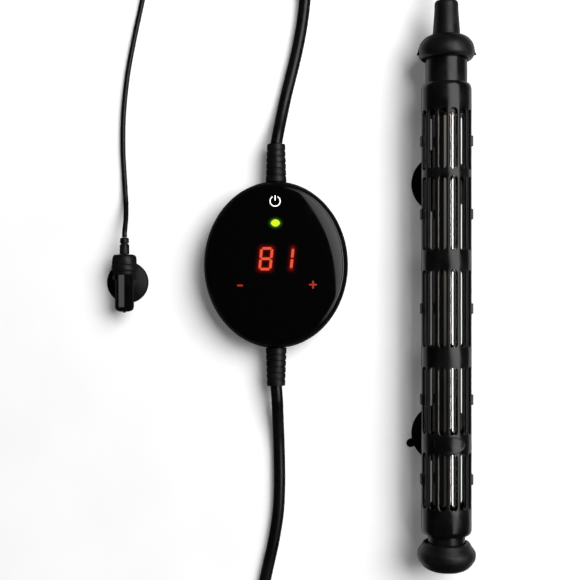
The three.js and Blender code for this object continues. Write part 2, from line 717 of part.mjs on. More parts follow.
// ==== Controller, in a group at the middle of its back ===================================================
const controller = new THREE.Group();
controller.position.set(CONTROLLER_X, CONTROLLER_Y, 0);
set.add(controller);

const HALF_WIDTH = CONTROLLER_WIDTH / 2;
const HALF_LENGTH = CONTROLLER_LENGTH / 2;
const FRONT_BOTTOM = PARTING_HEIGHT + GAP;
const LEDGE_TOP = HOUSING_TOP - PANEL_EDGE - GAP;
const BOARD_TOP = BOARD_HEIGHT + BOARD_THICKNESS;
const PANEL_INSET = RIM_WIDTH + GAP;
const WINDOW_INSET = RIM_WIDTH + LEDGE_WIDTH;

// A turned shape whose plan is an oval: the profile holds [inset from the outline, z], null on the axis.
function oval(profile, sides = 28) {
  const core = HALF_WIDTH / 2;
  const stretch = HALF_LENGTH - HALF_WIDTH;
  const radii = profile.map(([inset, z]) => [inset === null ? 0 : HALF_WIDTH - inset, z]);
  const geometry = turnedUp(radii, sides);
  const place = geometry.attributes.position;
  for (let i = 0; i < place.count; i += 1) {
    const x = place.getX(i);
    const y = place.getY(i);
    const radius = Math.hypot(x, y);
    if (radius > 0) {
      place.setY(i, y + (y / radius) * stretch * Math.min(1, radius / core));
    }
  }
  return geometry;
}

function ovalRing(profile, sides) {
  return oval([...profile, profile[0]], sides);
}

// Height of the face panel's dome at a share of the way from its middle to its edge: flat in the middle, falling
// away ever faster outwards.
function crownHeight(share) {
  return HOUSING_TOP + PANEL_CROWN * Math.max(0, 1 - share ** 4);
}

// Height of the face panel's domed top above a point of the face.
function panelTop(x, y) {
  return crownHeight(Math.hypot(x / (HALF_WIDTH - PANEL_INSET), y / (HALF_LENGTH - PANEL_INSET)));
}

const bossPlaces = [-1, 1].map((side) => [side * (HALF_WIDTH - HOUSING_BOSS_INSET), 0]);

// A place on the housing's plan from its shares of the half width and half length.
function onPlan([shareX, shareY]) {
  return [shareX * HALF_WIDTH, shareY * HALF_LENGTH];
}

const [standoffX, standoffY] = onPlan(STANDOFF_PLACE);
const standoffPlaces = [[1, 1], [1, -1], [-1, 1], [-1, -1]].map(([i, j]) => [i * standoffX, j * standoffY]);

// Round openings in both end walls, where the strain reliefs are clamped.
function reliefHole(side) {
  const past = 4;
  const start = side > 0 ? HALF_LENGTH - HOUSING_WALL - past : -HALF_LENGTH - past;
  const bar = barAlongY(RELIEF_NECK_RADIUS + GAP, 0, HOUSING_WALL + 2 * past, 12);
  return bar.translate(0, start, PARTING_HEIGHT + GAP / 2);
}

// A stake on a standoff: its stem passes through the board and its melted head holds the board down.
function boardStake() {
  const head = BOARD_TOP + GAP;
  return turnedUp([
    [0, BOARD_HEIGHT - 2],
    [STAKE_RADIUS, BOARD_HEIGHT - 2],
    [STAKE_RADIUS, head],
    [STAKE_HEAD_RADIUS, head],
    [STAKE_HEAD_RADIUS * 0.6, head + STAKE_HEAD_HEIGHT],
    [0, head + STAKE_HEAD_HEIGHT],
  ], 6);
}

function backShell() {
  const groove = (HOUSING_WALL - GASKET_WIDTH) / 2 - GAP;
  const shell = oval([
    [null, 0],
    [3.2, 0],
    [0.9, 1.6],
    [0, 5],
    [0, PARTING_HEIGHT],
    [groove, PARTING_HEIGHT],
    [groove, PARTING_HEIGHT - GASKET_HEIGHT - GAP],
    [HOUSING_WALL - groove, PARTING_HEIGHT - GASKET_HEIGHT - GAP],
    [HOUSING_WALL - groove, PARTING_HEIGHT],
    [HOUSING_WALL, PARTING_HEIGHT],
    [HOUSING_WALL + 0.8, HOUSING_FLOOR],
    [null, HOUSING_FLOOR],
  ]);
  const sunk = HOUSING_FLOOR - 0.5;
  const bosses = bossPlaces.map(([x, y]) => post(HOUSING_BOSS_RADIUS, sunk, PARTING_HEIGHT, x, y, 10));
  const standoffs = standoffPlaces.map(([x, y]) => post(STANDOFF_RADIUS, sunk, BOARD_HEIGHT - GAP, x, y, 8));
  const stakes = standoffPlaces.map(([x, y]) => boardStake().translate(x, y, 0));
  const bores = bossPlaces.map(([x, y]) => post(SCREW_RADIUS + GAP, -1, PARTING_HEIGHT + 1, x, y, 10));
  const seats = bossPlaces.map(([x, y]) => post(SCREW_HEAD_RADIUS + GAP, -1, SCREW_SEAT, x, y, 10));
  const body = join(shell, ...bosses, ...standoffs, ...stakes);
  return cut(body, ...bores, ...seats, reliefHole(1), reliefHole(-1));
}

function frontShell() {
  const shell = ovalRing([
    [HOUSING_WALL, FRONT_BOTTOM],
    [0, FRONT_BOTTOM],
    [0, FRONT_BOTTOM + 4.4],
    [0.7, HOUSING_TOP - 3.8],
    [1.9, HOUSING_TOP - 1.2],
    [3, HOUSING_TOP - 0.2],
    [RIM_WIDTH, HOUSING_TOP],
    [RIM_WIDTH, LEDGE_TOP],
    [WINDOW_INSET, LEDGE_TOP],
    [WINDOW_INSET, LEDGE_TOP - LEDGE_THICKNESS],
    [HOUSING_WALL, LEDGE_TOP - LEDGE_THICKNESS],
  ]);
  const ceiling = LEDGE_TOP - LEDGE_THICKNESS + 0.5;
  const bosses = bossPlaces.map(([x, y]) => post(HOUSING_BOSS_RADIUS, FRONT_BOTTOM, ceiling, x, y, 10));
  const pilotTop = PARTING_HEIGHT + SCREW_REACH + GAP;
  const pilots = bossPlaces.map(([x, y]) => post(SCREW_RADIUS + GAP, PARTING_HEIGHT - 1, pilotTop, x, y, 10));
  return cut(join(shell, ...bosses), ...pilots, reliefHole(1), reliefHole(-1));
}

// The face panel: a thin domed film with a stiff edge that sits in the rim.
function facePanel() {
  const inset = (share) => HALF_WIDTH - (HALF_WIDTH - PANEL_INSET) * share;
  const under = LEDGE_TOP + GAP;
  const shares = [1, 0.9, 0.7, 0.4];
  const [, ...inner] = shares;
  return oval([
    [null, crownHeight(0) - PANEL_THICKNESS],
    ...inner.reverse().map((share) => [inset(share), crownHeight(share) - PANEL_THICKNESS]),
    [WINDOW_INSET + GAP, under],
    [PANEL_INSET, under],
    ...shares.map((share) => [inset(share), crownHeight(share)]),
    [null, crownHeight(0)],
  ]);
}

// The gasket is laid in two strips, because the strain reliefs interrupt its groove at both ends.
function gasketStrip(side) {
  const inset = (HOUSING_WALL - GASKET_WIDTH) / 2;
  const low = PARTING_HEIGHT - GASKET_HEIGHT;
  const band = ovalRing([
    [HOUSING_WALL - inset, low],
    [inset, low],
    [inset, PARTING_HEIGHT],
    [HOUSING_WALL - inset, PARTING_HEIGHT],
  ]);
  const wide = [CONTROLLER_WIDTH, 2 * CONTROLLER_LENGTH, 4 * PARTING_HEIGHT];
  const otherSide = box(...wide, -side * HALF_WIDTH, 0, 0);
  return cut(band, otherSide, reliefHole(1), reliefHole(-1));
}

function mainBoard() {
  const plate = oval([
    [null, BOARD_HEIGHT],
    [BOARD_INSET, BOARD_HEIGHT],
    [BOARD_INSET, BOARD_TOP],
    [null, BOARD_TOP],
  ]);
  const notches = bossPlaces.map(([x, y]) => post(HOUSING_BOSS_RADIUS + 2 * GAP, 0, HOUSING_TOP, x, y, 12));
  const holes = standoffPlaces.map(([x, y]) => post(STAKE_RADIUS + GAP, 0, HOUSING_TOP, x, y, 8));
  return cut(plate, ...notches, ...holes);
}

function housingScrew([x, y]) {
  const low = SCREW_SEAT - GAP - SCREW_HEAD_HEIGHT;
  const head = post(SCREW_HEAD_RADIUS, low, low + SCREW_HEAD_HEIGHT, x, y, 10);
  const shank = post(SCREW_RADIUS, low + SCREW_HEAD_HEIGHT / 2, PARTING_HEIGHT + SCREW_REACH, x, y, 8);
  return join(head, shank);
}

// A part that stands on top of the board.
function onBoard([width, length], height, [x, y]) {
  return box(width, length, height, x, y, BOARD_TOP + GAP + height / 2);
}

// A part that hangs under the board.
function underBoard([width, length], height, [x, y]) {
  return box(width, length, height, x, y, BOARD_HEIGHT - GAP - height / 2);
}

const [sideKeyX, sideKeyY] = onPlan(SIDE_KEY_PLACE);
const keys = [
  ["power", ...onPlan(POWER_KEY_PLACE)],
  ["minus", -sideKeyX, sideKeyY],
  ["plus", sideKeyX, sideKeyY],
];
const plungerLow = BOARD_TOP + GAP + SWITCH_HEIGHT - PLUNGER_SEAT;

function switchBody(x, y) {
  const boreLow = plungerLow - GAP - KEY_TRAVEL;
  const bore = post(PLUNGER_RADIUS + GAP, boreLow, BOARD_TOP + 2 * SWITCH_HEIGHT, x, y, 10);
  return cut(onBoard([SWITCH_SIZE, SWITCH_SIZE], SWITCH_HEIGHT, [x, y]), bore);
}

function keyPlunger(x, y) {
  const farEdge = panelTop(x + Math.sign(x) * PLUNGER_RADIUS, y + Math.sign(y) * PLUNGER_RADIUS);
  const top = farEdge - PANEL_THICKNESS - GAP;
  return post(PLUNGER_RADIUS, plungerLow, top, x, y, 10);
}

function statusLed() {
  const low = BOARD_TOP + GAP;
  return turnedUp([
    [0, low],
    [LED_RADIUS + 0.4, low],
    [LED_RADIUS + 0.4, low + 1],
    [LED_RADIUS, low + 1],
    ...arc(0, low + LED_HEIGHT - LED_RADIUS, LED_RADIUS, 0, 90, 3),
  ], 10).translate(...onPlan(LED_PLACE), 0);
}

// A ribbed strain relief along +Y, with a clamped neck through the housing wall and a flange inside.
function strainRelief() {
  const outside = HALF_LENGTH + GAP;
  const inside = HALF_LENGTH - HOUSING_WALL - RELIEF_INNER_GAP;
  const flange = RELIEF_NECK_RADIUS + 1.3;
  const pitch = RELIEF_LENGTH / RELIEF_RINGS;
  const profile = [
    [CABLE_BORE, inside - RELIEF_FLANGE],
    [flange, inside - RELIEF_FLANGE],
    [flange, inside],
    [RELIEF_NECK_RADIUS, inside],
    [RELIEF_NECK_RADIUS, outside],
  ];
  for (let i = 0; i < RELIEF_RINGS; i += 1) {
    const radius = THREE.MathUtils.lerp(RELIEF_BASE_RADIUS, RELIEF_TIP_RADIUS, i / (RELIEF_RINGS - 1));
    const low = outside + i * pitch;
    profile.push([radius, low], [radius, low + pitch * 0.62]);
    if (i < RELIEF_RINGS - 1) {
      profile.push([radius - RELIEF_GROOVE, low + pitch * 0.81]);
    }
  }
  const end = outside + RELIEF_LENGTH;
  profile.push([RELIEF_TIP_RADIUS - 0.4, end], [CABLE_BORE, end]);
  return ring(profile, 10).translate(0, 0, PARTING_HEIGHT + GAP / 2);
}

function filterCapacitor() {
  const can = barAlongY(CAPACITOR_RADIUS, -CAPACITOR_LENGTH / 2, CAPACITOR_LENGTH / 2, 12);
  return can.translate(...onPlan(CAPACITOR_PLACE), BOARD_HEIGHT - GAP - CAPACITOR_RADIUS);
}

function cartridgeFuse() {
  const half = FUSE_GLASS_LENGTH / 2;
  const end = half + FUSE_CAP_LENGTH;
  const glass = barAlongY(FUSE_GLASS_RADIUS, -half - 1, half + 1, 10);
  const caps = [barAlongY(FUSE_CAP_RADIUS, -end, -half, 10), barAlongY(FUSE_CAP_RADIUS, half, end, 10)];
  return join(glass, ...caps).translate(...onPlan(FUSE_PLACE), BOARD_HEIGHT - GAP - FUSE_CAP_RADIUS);
}

add(controller, "back_shell", backShell(), HOUSING_PLASTIC);
add(controller, "front_shell", frontShell(), HOUSING_PLASTIC);
add(controller, "face_panel", facePanel(), PANEL_GLOSS);
add(controller, "gasket_strip_left", gasketStrip(-1), RUBBER);
add(controller, "gasket_strip_right", gasketStrip(1), RUBBER);
["left", "right"].forEach((side, i) => {
  add(controller, `housing_screw_${side}`, housingScrew(bossPlaces[i]), STEEL);
});
add(controller, "main_board", mainBoard(), BOARD_GREEN);
add(
  controller,
  "display_module",
  onBoard([DISPLAY_WIDTH, DISPLAY_LENGTH], DISPLAY_HEIGHT, onPlan(DISPLAY_PLACE)),
  PART_BLACK,
);
add(controller, "status_led", statusLed(), LED_GREEN);
for (const [name, x, y] of keys) {
  add(controller, `key_switch_${name}`, switchBody(x, y), PART_BLACK);
  add(controller, `key_plunger_${name}`, keyPlunger(x, y), PART_BLACK);
}
const chipSize = [MICROCONTROLLER_SIZE, MICROCONTROLLER_SIZE];
const chip = onBoard(chipSize, MICROCONTROLLER_THICKNESS, onPlan(MICROCONTROLLER_PLACE));
add(controller, "microcontroller", chip, PART_BLACK);
const transformer = underBoard(TRANSFORMER_SIZE, DEEP_PART_HEIGHT, onPlan(TRANSFORMER_PLACE));
add(controller, "power_transformer", transformer, PART_YELLOW);
add(controller, "relay", underBoard(RELAY_SIZE, DEEP_PART_HEIGHT, onPlan(RELAY_PLACE)), PART_BLUE);
add(controller, "filter_capacitor", filterCapacitor(), PART_BLACK);
add(controller, "cartridge_fuse", cartridgeFuse(), GLASS);
add(controller, "strain_relief_top", strainRelief(), RUBBER);
add(controller, "strain_relief_bottom", strainRelief().rotateZ(Math.PI), RUBBER);


// ==== Probe, in a group on the probe's axis above the middle of its clip ==================================
const probe = new THREE.Group();
probe.position.set(PROBE_X, PROBE_Y, PROBE_AXIS_HEIGHT);
set.add(probe);

const HEAD_LOW_Y = CLIP_RING_Y + CLIP_WIDTH / 2 + GAP;
const HEAD_TOP_Y = HEAD_LOW_Y + PROBE_HEAD_LENGTH;
const SLEEVE_TOP_Y = HEAD_LOW_Y + PROBE_SEAT;
const SLEEVE_END_Y = SLEEVE_TOP_Y - PROBE_LENGTH;
const PROBE_BORE = PROBE_RADIUS - PROBE_WALL;
const POTTING_LOW_Y = SLEEVE_END_Y + PROBE_WALL + GAP;

// The probe's sleeve, open at the head, with a small moulding pip on its closed end.
function probeSleeve() {
  return turned([
    [0, SLEEVE_END_Y - 0.7],
    [0.8, SLEEVE_END_Y - 0.5],
    [1, SLEEVE_END_Y],
    [PROBE_RADIUS * 0.55, SLEEVE_END_Y + 0.3],
    [PROBE_RADIUS * 0.88, SLEEVE_END_Y + 1.4],
    [PROBE_RADIUS, SLEEVE_END_Y + 3.4],
    [PROBE_RADIUS, SLEEVE_TOP_Y],
    [PROBE_BORE, SLEEVE_TOP_Y],
    [PROBE_BORE, POTTING_LOW_Y + 0.8],
    [PROBE_BORE * 0.7, POTTING_LOW_Y - GAP],
    [0, POTTING_LOW_Y - GAP],
  ], 14);
}

// The head is bored from below for the sleeve and from above for the lead's strain relief.
function probeHead() {
  const mouth = PROBE_RADIUS + GAP;
  const throat = PROBE_RELIEF_RADIUS - 1;
  return ring([
    [mouth, HEAD_LOW_Y],
    [PROBE_HEAD_RADIUS - 0.6, HEAD_LOW_Y],
    [PROBE_HEAD_RADIUS, HEAD_LOW_Y + 0.8],
    [PROBE_HEAD_RADIUS, HEAD_LOW_Y + PROBE_HEAD_LENGTH * 0.3],
    [PROBE_HEAD_RADIUS - 0.5, HEAD_LOW_Y + PROBE_HEAD_LENGTH * 0.36],
    [PROBE_HEAD_RADIUS - 0.2, HEAD_TOP_Y - 2.4],
    [PROBE_HEAD_RADIUS - 1.3, HEAD_TOP_Y - 0.7],
    [PROBE_HEAD_RADIUS - 3, HEAD_TOP_Y],
    [throat, HEAD_TOP_Y],
    [throat, SLEEVE_TOP_Y + GAP],
    [mouth, SLEEVE_TOP_Y + GAP],
  ], 14);
}

function probeRelief() {
  const low = HEAD_TOP_Y + GAP;
  const high = low + PROBE_RELIEF_LENGTH;
  const groove = low + PROBE_RELIEF_LENGTH * 0.58;
  const bore = PROBE_CORD_RADIUS + GAP;
  const plug = PROBE_RELIEF_RADIUS - 1 - GAP;
  return ring([
    [bore * 0.75, low - 4],
    [plug, low - 4],
    [plug, low],
    [PROBE_RELIEF_RADIUS, low],
    [PROBE_RELIEF_RADIUS, groove],
    [PROBE_RELIEF_RADIUS - 0.8, groove + 0.3],
    [PROBE_RELIEF_RADIUS - 0.8, groove + 1.1],
    [PROBE_RELIEF_RADIUS - 0.1, groove + 1.4],
    [PROBE_RELIEF_RADIUS - 0.6, high - 0.6],
    [bore + 0.4, high],
    [bore * 0.75, high],
  ], 12);
}

function probePotting() {
  const bore = BEAD_RADIUS + GAP;
  const rim = PROBE_BORE - GAP;
  const low = POTTING_LOW_Y + 0.8;
  const high = low + POTTING_LENGTH;
  return ring([[bore, low], [rim, low], [rim, high], [bore, high]], 12);
}

function thermistorBead() {
  const bead = new THREE.SphereGeometry(BEAD_RADIUS, 8, 6).scale(1, 1.6, 1);
  return bead.translate(0, POTTING_LOW_Y + 0.8 + 2 * BEAD_RADIUS, 0);
}

// The spring clip: a ring open on top, over a boss with a socket for the cup's stud.
function probeClip() {
  const inner = PROBE_RADIUS + GAP;
  const outer = inner + CLIP_THICKNESS;
  const low = CLIP_RING_Y - CLIP_WIDTH / 2;
  const high = CLIP_RING_Y + CLIP_WIDTH / 2;
  const loop = ring([[inner, low], [outer, low], [outer, high], [inner, high]], 20);
  const mouth = 2 * outer * Math.sin(THREE.MathUtils.degToRad(CLIP_MOUTH / 2));
  const opening = box(mouth, 4 * outer, 2 * outer, 0, 0, outer + inner * 0.45);
  const bossLow = CLIP_BOSS_BOTTOM - PROBE_AXIS_HEIGHT;
  const boss = post(CLIP_BOSS_RADIUS, bossLow, -inner * 0.7, 0, 0, 14);
  const bore = barAlongY(inner, -outer, outer, 20);
  const throat = post(PROBE_STUD_RADIUS + GAP, bossLow - 1, bossLow + 3, 0, 0, 12);
  const chamberLow = bossLow + CLIP_FLOOR;
  const chamber = post(PROBE_STUD_HEAD_RADIUS + GAP, chamberLow, -inner * 0.6, 0, 0, 12);
  return cut(join(cut(loop, opening), boss), bore, throat, chamber);
}

function probeCup() {
  return suctionCup({
    radius: PROBE_CUP_RADIUS,
    neck: PROBE_CUP_NECK_RADIUS,
    neckTop: CLIP_BOSS_BOTTOM - GAP,
    stud: PROBE_STUD_RADIUS,
    head: PROBE_STUD_HEAD_RADIUS,
    headLow: CLIP_BOSS_BOTTOM + CLIP_FLOOR + GAP,
    headHeight: PROBE_STUD_HEAD_HEIGHT,
  }).translate(0, 0, -PROBE_AXIS_HEIGHT);
}

add(probe, "probe_sleeve", probeSleeve(), HOUSING_PLASTIC);
add(probe, "probe_head", probeHead(), RUBBER);
add(probe, "probe_strain_relief", probeRelief(), RUBBER);
add(probe, "probe_potting", probePotting(), SILICONE);
add(probe, "thermistor_bead", thermistorBead(), CERAMIC);
add(probe, "probe_clip", probeClip(), GUARD_PLASTIC);
add(probe, "probe_suction_cup", probeCup(), CUP_RUBBER);


// ==== Cords, plug and splitter ===========================================================================
const CORD_BED = CORD_RADIUS + FLOOR_GAP; // height of a heavy cord's middle where it lies on the floor
const PROBE_CORD_BED = PROBE_CORD_RADIUS + FLOOR_GAP;
const RELIEF_EXIT = HALF_LENGTH + RELIEF_LENGTH + 2 * GAP;
const RELIEF_HEIGHT = PARTING_HEIGHT + GAP / 2;

// A cord put away in a round coil of two layers. It spirals in on the lower layer, climbs in a half turn at
// the inside and spirals out on top, and both its ends run straight for one cord diameter.
class CoilCurve extends THREE.Curve {
  constructor({ centre, outer, radius, from, hand, turnsIn, turnsOut }) {
    super();
    Object.assign(this, { centre, outer, hand, turnsIn, turnsOut });
    this.from = THREE.MathUtils.degToRad(from);
    this.pitch = 2 * radius + COIL_PITCH_GAP;
    this.low = radius + COIL_LIFT;
    this.straight = 2 * radius;
    this.turns = turnsIn + 0.5 + turnsOut;
    this.bend = 2 * Math.PI * this.turns * (outer - (this.pitch * turnsIn) / 2);
    this.arcLengthDivisions = Math.ceil(this.turns * 100);
  }

  wound(turn, target) {
    const climb = THREE.MathUtils.clamp((turn - this.turnsIn) / 0.5, 0, 1);
    const inward = Math.min(turn, this.turnsIn);
    const outward = Math.max(0, turn - this.turnsIn - 0.5);
    const dip = CLIMB_DIP * this.pitch * Math.sin(Math.PI * climb);
    const radius = this.outer - this.pitch * (inward - outward) - dip;
    const angle = this.from + this.hand * 2 * Math.PI * turn;
    const [x, y] = this.centre;
    const z = this.low + this.pitch * climb * climb * (3 - 2 * climb);
    return target.set(x + radius * Math.cos(angle), y + radius * Math.sin(angle), z);
  }

  heading(turn) {
    const angle = this.from + this.hand * (2 * Math.PI * turn + Math.PI / 2);
    return new THREE.Vector3(Math.cos(angle), Math.sin(angle), 0);
  }

  getPoint(t, target = new THREE.Vector3()) {
    const along = t * (this.bend + 2 * this.straight) - this.straight;
    const turn = THREE.MathUtils.clamp(along / this.bend, 0, 1) * this.turns;
    this.wound(turn, target);
    const beyond = along < 0 ? along : Math.max(0, along - this.bend);
    return target.addScaledVector(this.heading(turn), beyond);
  }

  // A point on the line of one end, a little way outside it.
  beyond(end, distance) {
    const way = end === 0 ? -1 : 1;
    return this.getPoint(end).addScaledVector(this.heading(end * this.turns), way * distance);
  }
}

// The smallest space between parts of a cord that don't follow each other directly.
function leastSelfGap(curve, radius, steps) {
  const points = curve.getSpacedPoints(steps);
  const stride = curve.getLength() / steps;
  const near = Math.ceil((6 * radius) / stride);
  let least = Infinity;
  for (let i = 0; i < points.length; i += 1) {
    for (let j = i + near; j < points.length; j += 1) {
      least = Math.min(least, points[i].distanceTo(points[j]) - 2 * radius);
    }
  }
  return least;
}

function coil(name, curve, radius, stepsPerTurn, sides) {
  const steps = Math.ceil(curve.turns * stepsPerTurn);
  const gap = leastSelfGap(curve, radius, steps * 4);
  const run = Math.round(curve.getLength());
  console.log(`${name}: ${run} mm of cord, least gap to itself ${gap.toFixed(2)} mm`);
  add(set, name, tube(curve, radius, sides, steps), CORD_JACKET);
}

// A free stretch of cord through its points, with a step every 2.8 diameters.
function stretch(name, points, radius) {
  const curve = new THREE.CatmullRomCurve3(points, false, "centripetal");
  const steps = Math.max(3, Math.round(curve.getLength() / (5.6 * radius)));
  console.log(`${name}: ${Math.round(curve.getLength())} mm of cord`);
  add(set, name, tube(curve, radius, 8, steps), CORD_JACKET);
}

function at(x, y, z) {
  return new THREE.Vector3(x, y, z);
}

// The mains lead: out of the controller's lower end, along the floor, coiled past the set, to the plug.
const mainsCoil = new CoilCurve({
  centre: [27.5, -266],
  outer: 51.5,
  radius: CORD_RADIUS,
  from: 180,
  hand: 1,
  turnsIn: 2.25,
  turnsOut: 2.5,
});
stretch("mains_lead", [
  at(CONTROLLER_X, CONTROLLER_Y - RELIEF_EXIT, RELIEF_HEIGHT),
  at(-7.5, -76, 11.7),
  at(-7, -90, 8.2),
  at(-6.5, -104, 5.1),
  at(-6.1, -119, CORD_BED),
  at(-6, -136, CORD_BED),
  at(-6.8, -153, CORD_BED),
  at(-9.6, -172, CORD_BED),
  at(-14.4, -194, CORD_BED),
  at(-19.6, -218, CORD_BED),
  at(-23.2, -240, 4.6),
  mainsCoil.beyond(0, CORD_RADIUS),
  mainsCoil.beyond(0, GAP),
], CORD_RADIUS);
coil("mains_lead_coil", mainsCoil, CORD_RADIUS, 24, 6);

const PLUG_AXIS_HEIGHT = PLUG_THICKNESS / 2 + FLOOR_GAP;
const plugPlace = at(74, -319.6, PLUG_AXIS_HEIGHT);
stretch("mains_lead_tail", [
  mainsCoil.beyond(1, GAP),
  mainsCoil.beyond(1, CORD_RADIUS),
  at(48, -319.6, 12.9),
  at(plugPlace.x - PLUG_RELIEF_LENGTH - CORD_RADIUS, plugPlace.y, PLUG_AXIS_HEIGHT),
  at(plugPlace.x - PLUG_RELIEF_LENGTH - GAP, plugPlace.y, PLUG_AXIS_HEIGHT),
], CORD_RADIUS);

const plug = new THREE.Group();
plug.position.copy(plugPlace);
set.add(plug);
const INSERT_DEPTH = 8; // how far the pin insert reaches into the plug body
const INSERT_MARGIN = 2;

// The plug body points along +X: a tapered relief, shoulders that widen to the grip, and a flat face.
function plugBody() {
  const half = PLUG_WIDTH / 2;
  const neck = CORD_RADIUS + 2.4;
  const plan = new THREE.Shape([
    new THREE.Vector2(0, -neck),
    new THREE.Vector2(PLUG_LENGTH * 0.2, -half * 0.82),
    new THREE.Vector2(PLUG_LENGTH * 0.45, -half * 0.86),
    new THREE.Vector2(PLUG_LENGTH * 0.72, -half),
    new THREE.Vector2(PLUG_LENGTH, -half),
    new THREE.Vector2(PLUG_LENGTH, half),
    new THREE.Vector2(PLUG_LENGTH * 0.72, half),
    new THREE.Vector2(PLUG_LENGTH * 0.45, half * 0.86),
    new THREE.Vector2(PLUG_LENGTH * 0.2, half * 0.82),
    new THREE.Vector2(0, neck),
  ]);
  const grip = new THREE.ExtrudeGeometry(plan, { depth: PLUG_THICKNESS, bevelEnabled: false });
  grip.translate(0, 0, -PLUG_THICKNESS / 2);
  const relief = turned([
    [0, -PLUG_RELIEF_LENGTH],
    [CORD_RADIUS + 0.6, -PLUG_RELIEF_LENGTH],
    [neck, -1],
    [neck, 4],
    [0, 4],
  ], 14).rotateZ(-Math.PI / 2);
  const pocket = box(
    2 * INSERT_DEPTH,
    PLUG_WIDTH - 2 * INSERT_MARGIN,
    PLUG_THICKNESS - 2 * INSERT_MARGIN,
    PLUG_LENGTH,
    0,
    0,
  );
  return cut(join(grip, relief), pocket);
}

// The insert holds two blades and the earth pin, and fills the pocket in the body's face.
function plugPins() {
  const width = PLUG_WIDTH - 2 * INSERT_MARGIN - 2 * GAP;
  const height = PLUG_THICKNESS - 2 * INSERT_MARGIN - 2 * GAP;
  const depth = INSERT_DEPTH - GAP;
  const face = PLUG_LENGTH;
  const insert = box(depth, width, height, face - depth / 2, 0, 0);
  const bladeZ = height / 2 - BLADE_WIDTH / 2 - 1;
  const root = 2;
  const bladeX = face + (BLADE_LENGTH - root) / 2;
  const blades = [-1, 1].map((side) =>
    box(BLADE_LENGTH + root, BLADE_THICKNESS, BLADE_WIDTH, bladeX, (side * BLADE_SPACING) / 2, bladeZ),
  );
  const earth = turned([
    [0, -root],
    [EARTH_PIN_RADIUS, -root],
    [EARTH_PIN_RADIUS, EARTH_PIN_LENGTH - 1.5],
    [EARTH_PIN_RADIUS * 0.5, EARTH_PIN_LENGTH],
    [0, EARTH_PIN_LENGTH],
  ], 12).rotateZ(-Math.PI / 2).translate(face, 0, bladeZ - EARTH_PIN_OFFSET);
  return join(insert, ...blades, earth);
}

add(plug, "plug_body", plugBody(), RUBBER);
add(plug, "plug_pin_insert", plugPins(), BRASS);

// The trunk lead carries the heater and probe circuits to a moulded splitter past the set.
const splitter = new THREE.Group();
splitter.position.set(12, 229, SPLITTER_THICKNESS / 2 + FLOOR_GAP);
set.add(splitter);
const PORT_SPACING = 13;

// A cord's opening in the splitter, at so far beside and along from its middle.
function splitterPort(side, along) {
  return at(splitter.position.x + side, splitter.position.y + along, splitter.position.z);
}

const heaterPort = splitterPort(PORT_SPACING / 2, SPLITTER_LENGTH / 2);
const probePort = splitterPort(-PORT_SPACING / 2, SPLITTER_LENGTH / 2);
const trunkPort = splitterPort(0, -SPLITTER_LENGTH / 2);

function splitterBody() {
  const half = SPLITTER_WIDTH / 2;
  const low = -SPLITTER_LENGTH / 2;
  const neck = CORD_RADIUS + 1.8;
  const side = [
    [neck, low],
    [neck + 0.8, low + SPLITTER_LENGTH * 0.25],
    [half, low + SPLITTER_LENGTH * 0.62],
    [half, -low - 1.5],
    [half - 1.5, -low],
  ];
  const mirrored = [...side].reverse().map(([x, y]) => [-x, y]);
  const plan = new THREE.Shape([...side, ...mirrored].map(([x, y]) => new THREE.Vector2(x, y)));
  const body = new THREE.ExtrudeGeometry(plan, { depth: SPLITTER_THICKNESS, bevelEnabled: false });
  return body.translate(0, 0, -SPLITTER_THICKNESS / 2);
}
add(splitter, "lead_splitter", splitterBody(), RUBBER);

stretch("trunk_lead", [
  at(CONTROLLER_X, CONTROLLER_Y + RELIEF_EXIT, RELIEF_HEIGHT),
  at(-6.9, 103, 10.6),
  at(-5.2, 112, 7.4),
  at(-3.2, 122, 5),
  at(-1, 132, CORD_BED),
  at(2, 144, CORD_BED),
  at(5.4, 158, CORD_BED),
  at(8.6, 174, CORD_BED),
  at(11, 192, 4.4),
  at(trunkPort.x, trunkPort.y - CORD_RADIUS, trunkPort.z),
  at(trunkPort.x, trunkPort.y - GAP, trunkPort.z),
], CORD_RADIUS);

// The heater's lead: from the splitter through its coil to the boot on the heater.
const heaterCoil = new CoilCurve({
  centre: [heaterPort.x + 47, 268],
  outer: 47,
  radius: CORD_RADIUS,
  from: 180,
  hand: -1,
  turnsIn: 1.5,
  turnsOut: 1.5,
});
stretch("heater_lead_tail", [
  at(heaterPort.x, heaterPort.y + GAP, heaterPort.z),
  at(heaterPort.x, heaterPort.y + CORD_RADIUS, heaterPort.z),
  heaterCoil.beyond(0, CORD_RADIUS),
  heaterCoil.beyond(0, GAP),
], CORD_RADIUS);
coil("heater_lead_coil", heaterCoil, CORD_RADIUS, 24, 6);
stretch("heater_lead", [
  heaterCoil.beyond(1, GAP),
  heaterCoil.beyond(1, CORD_RADIUS),
  at(111, 242, 15),
  at(108.5, 224, 20),
  at(106, 206, 25.2),
  at(HEATER_X, BOOT_TIP_Y + 2 * CORD_RADIUS, AXIS_HEIGHT),
  at(HEATER_X, BOOT_TIP_Y + GAP, AXIS_HEIGHT),
], CORD_RADIUS);

